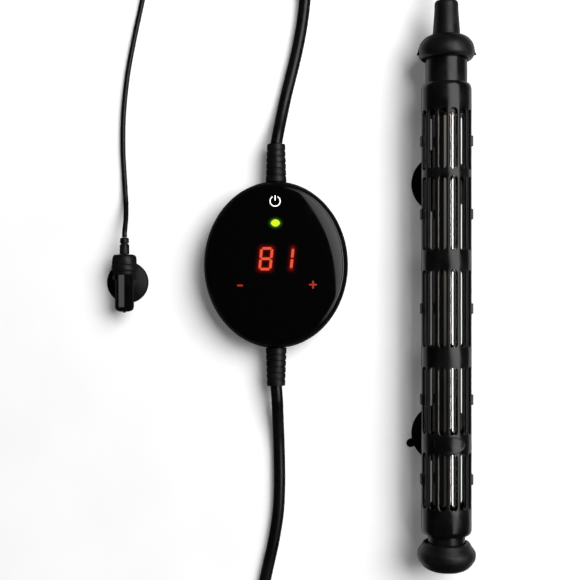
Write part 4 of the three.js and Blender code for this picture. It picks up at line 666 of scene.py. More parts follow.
class AQUA_OT_cords(Operator):
    """Makes the mains lead, the trunk lead, the heater's lead and the probe's lead, with their coils and ties"""

    bl_idname = "aqua.cords"
    bl_label = "Cords"

    def execute(self, context):
        heavy = cord_sizes().cord_diameter
        self.mains(heavy)
        self.trunk(heavy)
        self.heater(heavy)
        self.probe(cord_sizes().probe_cord_diameter)
        return {"FINISHED"}

    @staticmethod
    def relief_end(way):
        """Where a cord leaves the controller's relief, at its top for way 1 and at its bottom for way -1."""
        reach = HALF_LENGTH + RELIEF_LENGTH + 2 * GAP
        return (CONTROLLER_X / MM, CONTROLLER_Y / MM + way * reach, RELIEF_HEIGHT)

    @staticmethod
    def port(side):
        """Where a lead leaves the splitter: the heater's at side 1, the probe's at side -1."""
        x, y, z = SPLITTER_MIDDLE
        return x + side * PORT_OFFSET, y + SPLITTER_HALF, z

    def mains(self, diameter):
        radius = diameter / 2 / MM
        start = self.relief_end(-1)
        plug_x, plug_y, plug_z = PLUG_PLACE
        coil = Coil((27.5, -266), 51.5, radius, start=180, hand=1, turns_in=2.25, turns_out=2.5)
        route = coil.route(
            [
                start,
                (-7.5, -76, 11.7), (-7, -90, 8.2), (-6.5, -104, 5.1), (-6.1, -119, BED), (-6, -136, BED),
                (-6.8, -153, BED), (-9.6, -172, BED), (-14.4, -194, BED), (-19.6, -218, BED),
                (-23.2, -240, 4.6),
            ],
            [
                (48, plug_y, 12.9), (plug_x - PLUG_RELIEF - radius, plug_y, plug_z),
                (plug_x - PLUG_RELIEF - GAP, plug_y, plug_z),
            ],
        )
        ties = [coil.tie(f"mains_coil_tie_{side}", route, at) for side, at in (("left", 215), ("right", 35))]
        nodes = ["mains_lead", "mains_lead_coil", "mains_lead_tail"]
        cord("mains_cord", nodes, route, diameter)

    def trunk(self, diameter):
        start = self.relief_end(1)
        split_x, split_y, split_z = SPLITTER_MIDDLE
        route = spline(
            [
                start,
                (-6.9, 103, 10.6), (-5.2, 112, 7.4), (-3.2, 122, 5), (-1, 132, BED), (2, 144, BED),
                (5.4, 158, BED), (8.6, 174, BED), (11, 192, 4.4),
                (split_x, split_y - SPLITTER_HALF - diameter / 2 / MM, split_z),
                (split_x, split_y - SPLITTER_HALF - GAP, split_z),
            ],
            90,
        )
        cord("trunk_cord", ["trunk_lead"], route, diameter)

    def heater(self, diameter):
        radius = diameter / 2 / MM
        heater_x, heater_z = HEATER_X / MM, HEATER_Z / MM
        port_x, port_y, port_z = self.port(1)
        start = (port_x, port_y + GAP, port_z)
        coil = Coil((port_x + 47, 268), 47, radius, start=180, hand=-1, turns_in=1.5, turns_out=1.5)
        route = coil.route(
            [start, (port_x, port_y + radius, port_z)],
            [
                (111, 242, 15), (108.5, 224, 20), (106, 206, 25.2), (heater_x, BOOT_TIP + 2 * radius, heater_z),
                (heater_x, BOOT_TIP + GAP, heater_z),
            ],
        )
        ties = [coil.tie(f"heater_coil_tie_{side}", route, at) for side, at in (("left", 140), ("right", 320))]
        nodes = ["heater_lead_tail", "heater_lead_coil", "heater_lead"]
        cord("heater_cord", nodes, route, diameter)

    def probe(self, diameter):
        radius = diameter / 2 / MM
        port_x, port_y, port_z = self.port(-1)
        start = (port_x, port_y + GAP, port_z)
        exit_x, exit_y, exit_z = PROBE_EXIT
        coil = Coil((-70, 237), 24, radius, start=90, hand=1, turns_in=2.25, turns_out=2.5)
        route = coil.route(
            [
                start,
                (port_x, port_y + 2 * radius, port_z), (2.6, 255, 4.6), (-8, 262.5, 2.8),
                (-26, 265, PROBE_BED), (-46, 263, PROBE_BED),
            ],
            [
                (-96.4, 216, 3.4), (-99.5, 198, PROBE_BED), (-105, 172, PROBE_BED), (-110, 145, PROBE_BED),
                (-112.8, 118, PROBE_BED), (-113.2, 94, PROBE_BED), (-112.2, 74, PROBE_BED), (-110.9, 58, 4.2),
                (-110, 46, 9.6), (exit_x, exit_y + 2 * radius, exit_z - 0.4),
                (exit_x, exit_y + GAP, exit_z),
            ],
        )
        ties = [coil.tie("probe_coil_tie", route, 200)]
        nodes = ["probe_lead_tail", "probe_lead_coil", "probe_lead"]
        cord("probe_cord", nodes, route, diameter)


class AQUA_OT_plug(Operator):
    """Makes the mains plug with its ribbed relief and pins, and the moulded splitter"""

    bl_idname = "aqua.plug"
    bl_label = "Plug and splitter"

    def execute(self, context):
        self.plug()
        self.splitter()
        return {"FINISHED"}

    def plug(self):
        """The grip with its relief, along x, and the insert with two flat pins and a round one."""
        plug_x, plug_y, plug_z = (v * MM for v in PLUG_PLACE)

        def on_plug(along, side, up):
            return np.stack([plug_x + along, plug_y + side, plug_z + up], axis=-1)

        grip = loft(
            [
                (0, 6.2, 6.2, 2.2), (3.5, 8.2, 8.2, 2.6), (8, 10.4, 10.4, 3.2), (15, 11.1, 11.2, 4),
                (20, 11.6, 11.6, 4.6), (25, 12.9, 11.9, 5.5), (32, 13, 12, 6), (33.6, 12.7, 11.7, 6),
                (34, 12.1, 11.1, 6),
            ],
            on_plug,
        )
        relief = self.ribs(-PLUG_RELIEF, -0.6, 4.5, 6.2)
        relief_points = relief[0] @ np.array([[0, 1, 0], [1, 0, 0], [0, 0, -1]]) + [plug_x, plug_y, plug_z]
        parts = [grip, (relief_points, relief[1])]
        piece("plug_grip", parts, rubber(), slot="rubber", nodes=["plug_body"], crease=45)

        def flat_on_face(side, up, along):
            return np.stack([plug_x + along, plug_y + side, plug_z + up], axis=-1)

        face = PLUG_FACE * MM
        levels = [(0, face - 6 * MM), (0, face), (0.4 * MM, face + 0.25 * MM)]
        shapes = [slab(round_rectangle(19.4, 17.4, 3), levels, flat_on_face)]
        tip = face + 18 * MM
        levels = [(0, face - 2 * MM), (0, tip - MM), (0.2 * MM, tip - 0.3 * MM), (0.5 * MM, tip)]
        for side in (-1, 1):
            outline = round_rectangle(1.5, 6.3, 0.6) + np.array([side * 6.35, 5.55]) * MM
            shapes.append(slab(outline, levels, flat_on_face))
        earth = ellipse(2.4, 2.4, 32) + np.array([0, -6.35]) * MM
        tip = face + 21 * MM
        levels = [(0, face - 2 * MM), (0, tip - 2.4 * MM), (0.7 * MM, tip - 0.9 * MM)]
        levels += [(1.5 * MM, tip - 0.2 * MM), (2.1 * MM, tip)]
        shapes.append(slab(earth, levels, flat_on_face))
        brass = metal("plug_brass", (0.62, 0.44, 0.16), 0.24)
        piece("plug_pins", shapes, brass, slot="brass", nodes=["plug_pin_insert"])

    @staticmethod
    def splitter():
        """A flat wedge along y that widens from the trunk lead to the two thinner leads."""
        split_x, split_y, split_z = (v * MM for v in SPLITTER_MIDDLE)

        def on_splitter(along, side, up):
            return np.stack([split_x + side, split_y + along, split_z + up], axis=-1)

        block = loft(
            [
                (-15, 5.4, 5.4, 2.1), (-12, 6.1, 5.8, 2.3), (-6, 8, 5.95, 3), (2, 11.2, 6, 4.5),
                (9, 12, 6, 5.5), (13.8, 11.9, 5.9, 5.5), (14.7, 11.3, 5.4, 5), (15, 10.4, 4.6, 4.5),
            ],
            on_splitter,
        )
        piece("splitter_block", [block], rubber(), slot="rubber", nodes=["lead_splitter"], crease=50)

    @staticmethod
    def ribs(low, high, near, far, count=5):
        """A tapered relief: its radius grows evenly from near to far with a rounded rib at every pitch."""
        h = np.linspace(low, high, 120)
        share = (h - low) / (high - low)
        rib = 0.35 * np.clip(np.cos(2 * np.pi * count * share) * 2.5, -1, 1)
        profile = np.stack([near + (far - near) * share + rib - 0.35, h], axis=1)
        return lathe(np.concatenate([[[0, low]], profile, [[0, high]]]), (0, 0, 0), segments=48)


# ---- Heater --------------------------------------------------------------------------------------------------
GUARD_TOP = 133.1
GUARD_BOTTOM = -163.25
SLOT_ROWS = ((-145.45, -108.95), (-96.55, -52.75), (-39.85, 10.35), (23.35, 71.25), (75.75, 115.05))
PLATE_MIDDLE_Y = -102.75
PLATE_HALF = (11, 5.6)
PLATE_TOP_RADIUS = 17.1
CUP_PLACES = (("upper", 70.05, 108), ("lower", -100.75, 198))
SLOT_TURN = 5.2  # degrees by which the guard's slots are turned about its axis
FLANGE_TOP = 130.35  # lower face of the guard's upper end
FLANGE_BOTTOM = -160.25  # upper face of the guard's lower end
HOLDER_RADIUS = 14.2
HOLDER_BORE = 9.8
NECK_RADIUS = 13.65
NECK_TOP = 161.05
FOOT_NECK_RADIUS = 12.3
TUBE_TOP = 149.75
TUBE_END = -158.25
CORD_BORE = 4.2
COLLAR_TOP = 164.85
COLLAR_RIM = 149.35
FOOT_LIP = -168.75
SOCKET_LOW = 9.8


def heater_piece(name, parts, finish, **settings):
    """A piece of the heater's outside. It mirrors the strips on the floor besides the lights of the others."""
    thing = piece(name, parts, finish, **settings)
    bpy.data.collections["heater_only"].objects.link(thing)


class AQUA_OT_guard(Operator):
    """Makes the guard: rows of round-ended slots round a thin tube, with shoulders, lips, lugs and cup sockets"""

    bl_idname = "aqua.guard"
    bl_label = "Guard"

    def execute(self, context):
        sizes = heater_sizes()
        outer = sizes.guard_radius / MM
        bore = outer - sizes.guard_wall / MM
        lands = [(high + low) / 2 for (_, high), (low, _) in zip(SLOT_ROWS, SLOT_ROWS[1:])]
        edges = [SLOT_ROWS[0][0] - 3, *lands, SLOT_ROWS[-1][1] + 3]
        parts = [
            self.slot_row(row, low, high, outer, bore) for row, low, high in zip(SLOT_ROWS, edges, edges[1:])
        ]
        top = [
            (bore, edges[-1]), (bore, FLANGE_TOP), (NECK_RADIUS + GAP, FLANGE_TOP),
            (NECK_RADIUS + GAP, GUARD_TOP - 0.05), (NECK_RADIUS + 0.5, GUARD_TOP),
            *self.shoulder(outer, GUARD_TOP, -1, 4.4),
            (outer, edges[-1]),
        ]
        bottom = [
            (bore, edges[0]), (bore, FLANGE_BOTTOM), (FOOT_NECK_RADIUS + GAP, FLANGE_BOTTOM),
            (FOOT_NECK_RADIUS + GAP, GUARD_BOTTOM + 0.1), (12.8, GUARD_BOTTOM),
            *self.shoulder(outer, GUARD_BOTTOM, 1, 3.8),
            (outer, edges[0]),
        ]
        axis = (HEATER_X, 0, HEATER_Z)
        around = 6 * sizes.slots_round
        parts += [lathe(profile, axis, segments=around) for profile in (top, bottom)]
        for low, high in SLOT_ROWS:
            parts += [self.lug(side, (low + high) / 2, outer) for side in (-1, 1)]
        for _, y, _ in CUP_PLACES:
            socket = rounded([(3.2, 13.4), (3.2, SOCKET_LOW), (7, SOCKET_LOW), (7, 13.4)], 0.35)
            parts.append(lathe(socket, (HEATER_X, y * MM, 0), "Z", 48, closed=True))
        halves = ["guard_front_half", "guard_back_half"]
        heater_piece("guard_shell", parts, guard_finish(), nodes=halves, crease=35)

        def on_plate(x, y, h):
            turn = x / (PLATE_TOP_RADIUS * MM)
            r = PLATE_TOP_RADIUS * MM + h
            across, above = HEATER_X + r * np.sin(turn), HEATER_Z + r * np.cos(turn)
            return np.stack([across, PLATE_MIDDLE_Y * MM + y, above], axis=-1)

        levels = [(1, -0.9), (1, -0.2), (0.985, -0.06), (0.96, 0), (0.93, 0), (0.915, -0.09), (0.9, -0.12)]
        levels += [(share, -0.12) for share in (0.8, 0.6, 0.4, 0.2, 0.02)]
        plate = cap(ellipse(*PLATE_HALF, 72), levels, on_plate)
        heater_piece("oval_plate", [plate], guard_finish(), nodes=["guard_oval_plate"], crease=40)
        return {"FINISHED"}

    @staticmethod
    def shoulder(outer, end, way, height):
        """A quarter ellipse from the end face to the guard's side: 2.1 wide and height tall."""
        a = np.linspace(0, np.pi / 2, 9)
        r = outer - 2.1 * (1 - np.sin(a))
        h = end + way * height * (1 - np.cos(a))
        return list(zip(r, h))

    @staticmethod
    def slot_row(row, low, high, outer, bore):
        """A row of wall cells, one round each slot. A cell is a strip of rings that follow the slot's outline
        moved outwards by d: from the cell's border on the bore, round the bore's edge, through the wall, round
        the outer edge and out to the border again. Across the guard a place u is the angle u / outer radius."""
        sizes = heater_sizes()
        count = sizes.slots_round
        half_pitch = np.pi * outer / count
        half = sizes.slot_width / MM / 2
        start, end = row[0] + half, row[1] - half
        side = np.array([start, (start + end) / 2, end])
        a = np.linspace(0, np.pi, 13)[1:-1]

        def outline(d):
            w = half + d
            right = np.stack([0 * side + w, side], axis=1)
            over = np.stack([w * np.cos(a), end + w * np.sin(a)], axis=1)
            under = np.stack([-w * np.cos(a), start - w * np.sin(a)], axis=1)
            return np.concatenate([right, over, right[::-1] * [-1, 1], under])

        third = np.arange(1, 4)[:, None] / 3
        across = (1 - np.arange(1, 7) / 3)[:, None] * half_pitch

        def corner(x, near, far):
            rise = np.concatenate([0 * third + x, near + (far - near) * third], axis=1)
            level = np.concatenate([across * np.sign(x), 0 * across + far], axis=1)
            fall = np.concatenate([0 * third - x, far + (near - far) * third], axis=1)
            return np.concatenate([rise, level, fall])[:-1]

        right = np.stack([0 * side + half_pitch, side], axis=1)
        border = np.concatenate(
            [right, corner(half_pitch, end, high), right[::-1] * [-1, 1], corner(-half_pitch, start, low)]
        )
        b = np.linspace(0, np.pi / 2, 5)
        inner_edge = list(zip(0.3 * (1 - np.cos(b[::-1])), bore + 0.3 * (1 - np.sin(b[::-1]))))
        outer_edge = list(zip(0.5 * (1 - np.cos(b)), outer - 0.5 * (1 - np.sin(b))))
        rings = [(border, bore), *((outline(d), r) for d, r in inner_edge + outer_edge), (border, outer)]
        plan = np.stack([line for line, _ in rings])
        r = np.array([r for _, r in rings])[:, None] * MM
        cells = []
        for cell in range(count):
            turn = plan[..., 0] / outer + (cell + 0.5) * 2 * np.pi / count - np.radians(SLOT_TURN)
            across, above = HEATER_X + r * np.sin(turn), HEATER_Z + r * np.cos(turn)
            cells.append(np.stack([across, plan[..., 1] * MM, above], axis=-1).reshape(-1, 3))
        faces = grid_faces(len(rings), plan.shape[1])
        size = len(cells[0])
        return np.concatenate(cells), np.concatenate([faces + size * i for i in range(count)])

    @staticmethod
    def lug(side, y, outer):
        """A snap lug in a side slot: a round-cornered block that stands slightly proud of the guard."""
        outline = round_rectangle(7, 6.3, 0.7)
        low, high = (outer - 1.9) * MM, (outer + 0.7) * MM
        profile = [(0, low), (0, high - 0.45 * MM), (0.14 * MM, high - 0.14 * MM), (0.45 * MM, high)]

        def place(u, v, h):
            return np.stack([HEATER_X + side * h, y * MM + u, HEATER_Z + 0.85 * MM + v], axis=-1)

        return slab(outline, profile, place)


class AQUA_OT_tube(Operator):
    """Makes the titanium tube and the two holders that carry it"""

    bl_idname = "aqua.tube"
    bl_label = "Tube and holders"

    def execute(self, context):
        axis = (HEATER_X, 0, HEATER_Z)
        radius = heater_sizes().tube_radius / MM
        inside = radius - 0.8
        a = np.linspace(-np.pi / 2, 0, 17)
        middle = TUBE_END + radius
        outside = np.stack([radius * np.cos(a), middle + radius * np.sin(a)], axis=1)
        hollow = np.stack([inside * np.cos(a), middle + inside * np.sin(a)], axis=1)[::-1]
        rim = [(radius, TUBE_TOP - 0.2), (radius - 0.2, TUBE_TOP)]
        rim += [(inside + 0.2, TUBE_TOP), (inside, TUBE_TOP - 0.2)]
        tube_part = lathe(np.concatenate([outside, rim, hollow]), axis)
        lit_apart(
            piece("titanium_tube", [tube_part], titanium(), slot="titanium", nodes=["heating_tube"], crease=40),
            "tube_only",
        )

        upper = rounded(
            [
                (HOLDER_BORE, 112.05), (HOLDER_RADIUS, 112.05), (HOLDER_RADIUS, 130.05), (NECK_RADIUS, 130.05),
                (NECK_RADIUS, NECK_TOP), (CORD_BORE, NECK_TOP), (CORD_BORE, TUBE_TOP + GAP),
                (HOLDER_BORE, TUBE_TOP + GAP),
            ],
            0.4,
        )
        upper_part = lathe(upper, axis, closed=True)
        heater_piece("upper_holder", [upper_part], smooth_plastic(), nodes=["tube_holder_top"])
        pocket = np.stack([HOLDER_BORE * np.cos(a), middle + HOLDER_BORE * np.sin(a)], axis=1)[::-1]
        foot_neck = [(0, -160.55), (10.3, -160.55), (10.3, -181.75), (FOOT_NECK_RADIUS, -181.75)]
        side = [(FOOT_NECK_RADIUS, -159.95), (HOLDER_RADIUS, -159.95), (HOLDER_RADIUS, -151.3)]
        lower = np.concatenate([foot_neck, side, [(13.9, -150.95), (9.9, -150.95)], pocket])
        heater_piece("lower_holder", [lathe(lower, axis)], smooth_plastic(), nodes=["tube_holder_bottom"])
        return {"FINISHED"}


class AQUA_OT_rubber(Operator):
    """Makes the rubber collar with its side fins, the cable boot and the rubber foot"""

    bl_idname = "aqua.rubber"
    bl_label = "Collar, boot and foot"

    def execute(self, context):
        axis = (HEATER_X, 0, HEATER_Z)
        self.collar(axis, heater_sizes().collar_radius / MM)
        self.boot(axis)
        self.foot(axis, heater_sizes().foot_radius / MM)
        return {"FINISHED"}

    def collar(self, axis, wide):
        dome = spline(
            [
                (0.85 * wide, 149.5), (0.9 * wide, 150), (0.96 * wide, 151.6), (0.985 * wide, 153.7),
                (0.98 * wide, 156.1), (0.95 * wide, 158.4), (0.89 * wide, 160.7), (0.78 * wide, 163),
                (0.68 * wide, 164.2),
            ],
            60,
        )
        collar = np.concatenate(
            [[(13.95, COLLAR_RIM + 0.2), (14.15, COLLAR_RIM), (0.86 * wide, COLLAR_RIM)], dome]
            + [[(0.58 * wide, COLLAR_TOP), (9.6, COLLAR_TOP), (9.5, COLLAR_TOP - 0.2)]]
            + [[(9.5, NECK_TOP + GAP), (13.95, NECK_TOP + GAP)]]
        )
        fins = [self.fin(side, 155.2, 0.98 * wide) for side in (-1, 1)]
        heater_piece(
            "collar_dome",
            [lathe(collar, axis, segments=144, closed=True), *fins],
            rubber(),
            slot="rubber",
            nodes=["collar_grip"],
            crease=50,
        )
    @staticmethod
    def boot(axis):
        """The cord's tapered boot, round a bore for the cord."""
        nozzle = [(9.2, 165), (9.05, 166.2), (8.56, 172.65), (8.15, 177.8), (7.85, 182.55), (7.8, 186)]
        boot = np.concatenate(
            [
                [(CORD_BORE, NECK_TOP + GAP), (9.2, NECK_TOP + GAP), (9.2, 164)],
                spline(nozzle, 30),
                [(7.55, 187), (6.9, 187.75), (6.1, BOOT_TIP), (4.6, BOOT_TIP), (CORD_BORE, 187.6)],
            ]
        )
        nozzle_part = lathe(boot, axis, closed=True)
        heater_piece("boot_nozzle", [nozzle_part], rubber(), slot="rubber", nodes=["cable_boot"], crease=50)
    @staticmethod
    def foot(axis, wide):
        bulge = spline(
            [
                (0.38 * wide, -187.75), (0.58 * wide, -186.9), (0.76 * wide, -185.1),
                (0.91 * wide, -181.9), (0.985 * wide, -179.3), (wide, -177),
                (0.985 * wide, -174.9), (0.92 * wide, -172.9), (0.86 * wide, -171.2),
                (0.82 * wide, -169.9), (0.79 * wide, -169),
            ],
            70,
        )
        foot = np.concatenate(
            [[(0, -188.05), (3, -188.02)], bulge]
            + [[(0.76 * wide, FOOT_LIP), (12.9, FOOT_LIP)]]
            + [[(FOOT_NECK_RADIUS + GAP, FOOT_LIP - 0.3), (FOOT_NECK_RADIUS + GAP, -182.05), (0, -182.05)]]
        )
        heater_piece(
            "foot_bulb",
            [lathe(foot, axis, segments=144)],
            rubber(),
            body="foot",
            slot="rubber",
            nodes=["foot_cap"],
            crease=50,
        )

    @staticmethod
    def fin(side, y, wide):
        """A thin pointed tab of flash at the collar's side, left where its mould closes."""
        outline = np.array([[-2, -2.6], [1, -2.9], [1.35, -2.6], [0.55, -0.6], [0, 1.6], [-2, 2.6]])
        sides = zip(outline, np.roll(outline, -1, axis=0))
        outline = np.concatenate([np.linspace(p, q, 4, endpoint=False) for p, q in sides])
        profile = [(0.25 * MM, -0.7 * MM), (0, -0.5 * MM), (0, 0.5 * MM), (0.25 * MM, 0.7 * MM)]

        def place(u, v, h):
            return np.stack([HEATER_X + side * (wide * MM + u), y * MM + v, HEATER_Z + h], axis=-1)

        return slab(outline * MM, profile, place)


def cup_profile(radius, neck, neck_top, stud, head, head_low, head_height):
    """Half section of a hollow suction cup with a neck, and a stud with a snap head, from the axis outwards."""
    hollow = [(0.02, 0.36 * neck_top), (0.4 * radius, 0.27 * neck_top)]
    hollow = spline([*hollow, (0.72 * radius, 0.13 * neck_top), (0.93 * radius, 0.02)], 24)
    top = spline(
        [
            (0.985 * radius, 0.055 * radius), (0.93 * radius, 0.13 * neck_top + 0.02 * radius),
            (0.84 * radius, 0.28 * neck_top), (0.56 * radius, 0.5 * neck_top),
            (0.3 * radius + 0.3 * neck, 0.62 * neck_top), (1.12 * neck, 0.72 * neck_top),
            (neck, 0.82 * neck_top),
        ],
        40,
    )
    stem = [(neck, 0.97 * neck_top), (0.96 * neck, neck_top), (stud, neck_top), (stud, head_low)]
    knob = [(0.95 * head, head_low), (head, head_low + 0.1 * head_height), (head, head_low + 0.4 * head_height)]
    crown = [(0.6 * head, head_low + head_height), (0, head_low + head_height)]
    rim = [(0.97 * radius, 0), (0.995 * radius, 0.006 * radius), (radius, 0.025 * radius)]
    return np.concatenate([[(0, 0.36 * neck_top)], hollow, rim, top, stem, knob, crown])


class AQUA_OT_cups(Operator):
    """Makes the three suction cups: two on the heater and a small one under the probe's clip"""

    bl_idname = "aqua.cups"
    bl_label = "Suction cups"

    def execute(self, context):
        radius = heater_sizes().cup_radius / MM
        for name, y, turn in CUP_PLACES:
            middle = (HEATER_X, y * MM, 0)
            profile = cup_profile(
                radius, neck=4.5, neck_top=9.5, stud=2.9, head=4.4, head_low=13.4, head_height=2.4
            )
            disc = lathe(profile, middle, "Z", 120)
            piece(
                f"{name}_cup_disc",
                [disc, self.tab(middle, turn, radius)],
                soft_rubber(),
                body=f"{name}_cup",
                slot="cup_rubber",
                nodes=[f"suction_cup_{name}"],
                crease=40,
            )
        middle = (PROBE_X, PROBE_Y, 0)
        radius = controller_sizes().cup_radius / MM
        profile = cup_profile(radius, neck=3.2, neck_top=4.3, stud=2, head=3, head_low=6.3, head_height=1.1)
        disc = lathe(profile, middle, "Z", 96)
        piece(
            "probe_cup_disc",
            [disc],
            soft_rubber(),
            body="probe_cup",
            slot="cup_rubber",
            nodes=["probe_suction_cup"],
            crease=40,
        )
        return {"FINISHED"}

    @staticmethod
    def tab(middle, turn, radius):
        """The pull tab: a round-ended tongue at the rim of the cup, pointing at that angle."""
        outline = round_rectangle(7.4, 5.6, 2.6) + np.array([radius + 0.7, 0]) * MM
        profile = [(0.3 * MM, 0), (0, 0.3 * MM), (0, 1.1 * MM), (0.3 * MM, 1.4 * MM)]
        a = np.radians(turn)
        c, s = np.cos(a), np.sin(a)

        def place(u, v, h):
            return np.stack([middle[0] + c * u - s * v, middle[1] + s * u + c * v, h], axis=-1)

        return slab(outline, profile, place)


# ---- Controller ----------------------------------------------------------------------------------------------
HALF_WIDTH = 48.25
HALF_LENGTH = 55.85
PARTING = 12
RIM_TOP = 24.8
SCREW_X = 38.45
DIGIT_SLANT = 0.1
DIGIT_HALF = (3.5, 6.85)  # half width and half height between the middles of the display's segments
FACE_LIFT = 0.03


def on_controller(x, y, z):
    return np.stack([CONTROLLER_X + x, CONTROLLER_Y + y, z], axis=-1)


def oval_rings(profile, segments=160, closed=False):
    """Rings of an oval plan: (inset from the outline, height) in millimetres, at the ellipse's own angle."""
    inset, z = np.asarray(profile, float).T[:, :, None]
    a = np.linspace(0, 2 * np.pi, segments, endpoint=False)[None, :]
    x, y = (HALF_WIDTH - inset) * np.cos(a), (HALF_LENGTH - inset) * np.sin(a)
    return grid(on_controller(x * MM, y * MM, (z + 0 * a) * MM), wrap_rows=closed)


def face_height(x, y):
    """The domed face's height above the floor: rim + crown (1 - s^4), where s runs from 0 to 1 at its edge."""
    edge = controller_sizes().rim_width / MM + 0.3
    s = np.hypot(x / (HALF_WIDTH - edge), y / (HALF_LENGTH - edge))
    return RIM_TOP + controller_sizes().panel_crown / MM * np.maximum(0, 1 - s**4)


def holed_plate(outline, holes, z):
    """A flat plate with round holes (x, y, radius): all outlines triangulated, without the holes' triangles."""
    a = np.linspace(0, 2 * np.pi, 40, endpoint=False)
    circles = [np.stack([x + r * np.cos(a), y + r * np.sin(a)], axis=1) for x, y, r in holes]
    points = np.concatenate([outline, *circles])
    flat, _, faces, *_ = delaunay_2d_cdt([Vector(p) for p in points], [], [], 0, 1e-9)
    flat = np.array([tuple(p) for p in flat])
    middles = flat[np.array(faces)].mean(axis=1)
    kept = np.ones(len(faces), bool)
    for x, y, r in holes:
        kept &= np.hypot(middles[:, 0] - x, middles[:, 1] - y) > 0.99 * r
    faces = np.array(faces)[kept]
    quads = np.concatenate([faces, faces[:, 2:]], axis=1)
    return on_controller(flat[:, 0] * MM, flat[:, 1] * MM, np.full(len(flat), z * MM)), quads


class AQUA_OT_housing(Operator):
    """Makes the controller's two shells and the ringed strain reliefs at both its ends"""

    bl_idname = "aqua.housing"
    bl_label = "Housing"

    def execute(self, context):
        front = [
            (0.12, 12.3), (0, 12.45), (0, 15.5), (0.02, 16.7), (0.2, 18.8), (0.62, 20.7), (1.2, 22.2),
            (1.95, 23.4), (2.7, 24.15), (3.4, 24.6), (3.85, 24.76), (4, 24.74), (4.08, 24.6), (4.1, 23),
            (8, 23), (8, 21), (3, 20.2), (3, 12.3),
        ]
        piece(
            "housing_front",
            [oval_rings(front, closed=True)],
            gloss_housing(),
            slot="housing_plastic",
            nodes=["front_shell"],
            crease=40,
        )
        back = [
            (3.2, 0), (2.4, 0.12), (1.7, 0.5), (0.95, 1.4), (0.4, 2.8), (0.1, 4.4), (0, 6), (0, 11.85),
            (0.12, PARTING), (3, PARTING), (3, 2.4), (3.3, 2.2), (HALF_WIDTH - 0.01, 2.2),
        ]
        a = np.linspace(0, 2 * np.pi, 160, endpoint=False)
        outline = np.stack([(HALF_WIDTH - 3.2) * np.cos(a), (HALF_LENGTH - 3.2) * np.sin(a)], axis=1)
        seat = 2.7
        parts = [oval_rings(back), holed_plate(outline, [(side * SCREW_X, 0, seat) for side in (-1, 1)], 0)]
        for side in (-1, 1):
            middle = (CONTROLLER_X + side * SCREW_X * MM, CONTROLLER_Y, 0)
            well = [(seat, 0), (seat, 3.2), (1.5, 3.2), (1.5, 11.9), (3.6, 11.9), (3.6, 2.2)]
            parts.append(lathe(well, middle, "Z", 40))
        piece("housing_back", parts, gloss_housing(), slot="housing_plastic", nodes=["back_shell"], crease=40)
        middle = (CONTROLLER_X, CONTROLLER_Y, RELIEF_HEIGHT * MM)
        for way, name in ((1, "top"), (-1, "bottom")):
            piece(
                f"relief_{name}",
                [lathe(self.relief(way), middle, segments=64, closed=True)],
                rubber(),
                slot="rubber",
                nodes=[f"strain_relief_{name}"],
                crease=45,
            )
        return {"FINISHED"}

    @staticmethod
    def relief(way):
        """A ringed relief: six rings that narrow outwards, with rounded grooves between them."""
        start, rings = HALF_LENGTH + GAP, 6
        share = np.linspace(0, 1, rings * 14 + 1)
        in_ring = (share * rings) % 1
        groove = np.clip((np.abs(in_ring - 0.5) - 0.34) / 0.08, 0, 1)
        groove[(share < 0.04) | (share > 0.97)] = 0
        radius = 7.0 - 0.9 * share - 0.45 * groove * groove * (3 - 2 * groove)
        body = np.stack([radius, start + RELIEF_LENGTH * share], axis=1)
        end = start + RELIEF_LENGTH
        flange = [(5.2, start - 6), (5.2, start - 0.2), (6.7, start - 0.2)]
        tip = [(5.5, end + 0.25), (4.5, end + 0.3), (CORD_BORE, end), (CORD_BORE, start - 6)]
        return np.concatenate([flange, body, tip]) * [1, way]


def ribbon(path, half_width, count=40):
    """A pen stroke lying on the controller's face: a low ridge along the path, in millimetres, with round ends.
    Its half width at a run s from an end is half_width sqrt(1 - (1 - s / half_width)^2). The glow attribute is 1
    along the middle and 0 at the border."""
    line = evenly(np.asarray(path, float), count)
    ahead = np.gradient(line, axis=0)
    ahead /= np.linalg.norm(ahead, axis=1, keepdims=True)
    left = np.stack([-ahead[:, 1], ahead[:, 0]], axis=1)
    total = np.linalg.norm(np.diff(line, axis=0), axis=1).sum()
    cap_run = half_width * (1 - np.cos(np.linspace(0, np.pi / 2, 8)))
    straight_run = np.linspace(half_width, total - half_width, count)
    run = np.unique(np.concatenate([cap_run, straight_run, total - cap_run]))
    places = np.linspace(0, total, count)
    line = np.stack([np.interp(run, places, line[:, i]) for i in range(2)], axis=1)
    left = np.stack([np.interp(run, places, left[:, i]) for i in range(2)], axis=1)
    from_end = np.minimum(np.minimum(run, total - run) / half_width, 1)
    reach = half_width * np.sqrt(np.maximum(1 - (1 - from_end) ** 2, 1e-4))
    across = np.array([-1, -0.92, -0.7, -0.4, 0, 0.4, 0.7, 0.92, 1, 0.7, 0, -0.7])
    above = np.array([0, 1, 1, 1, 1, 1, 1, 1, 0, -1, -1, -1]) * FACE_LIFT
    glow = np.clip(1 - np.abs(across) ** 2, 0, 1) * (above > 0)
    plan = line[:, None] + left[:, None] * (reach[:, None] * across[None])[..., None]
    z = face_height(plan[..., 0], plan[..., 1]) + above[None]
    points = on_controller(plan[..., 0] * MM, plan[..., 1] * MM, z * MM)
    ends = np.minimum(1, 0.2 + from_end)[:, None]
    lit_up = (glow[None] * ends).ravel()
    shape = grid(points, close_ends=True)
    return shape, np.concatenate([np.zeros(len(across)), lit_up, np.zeros(len(across))])


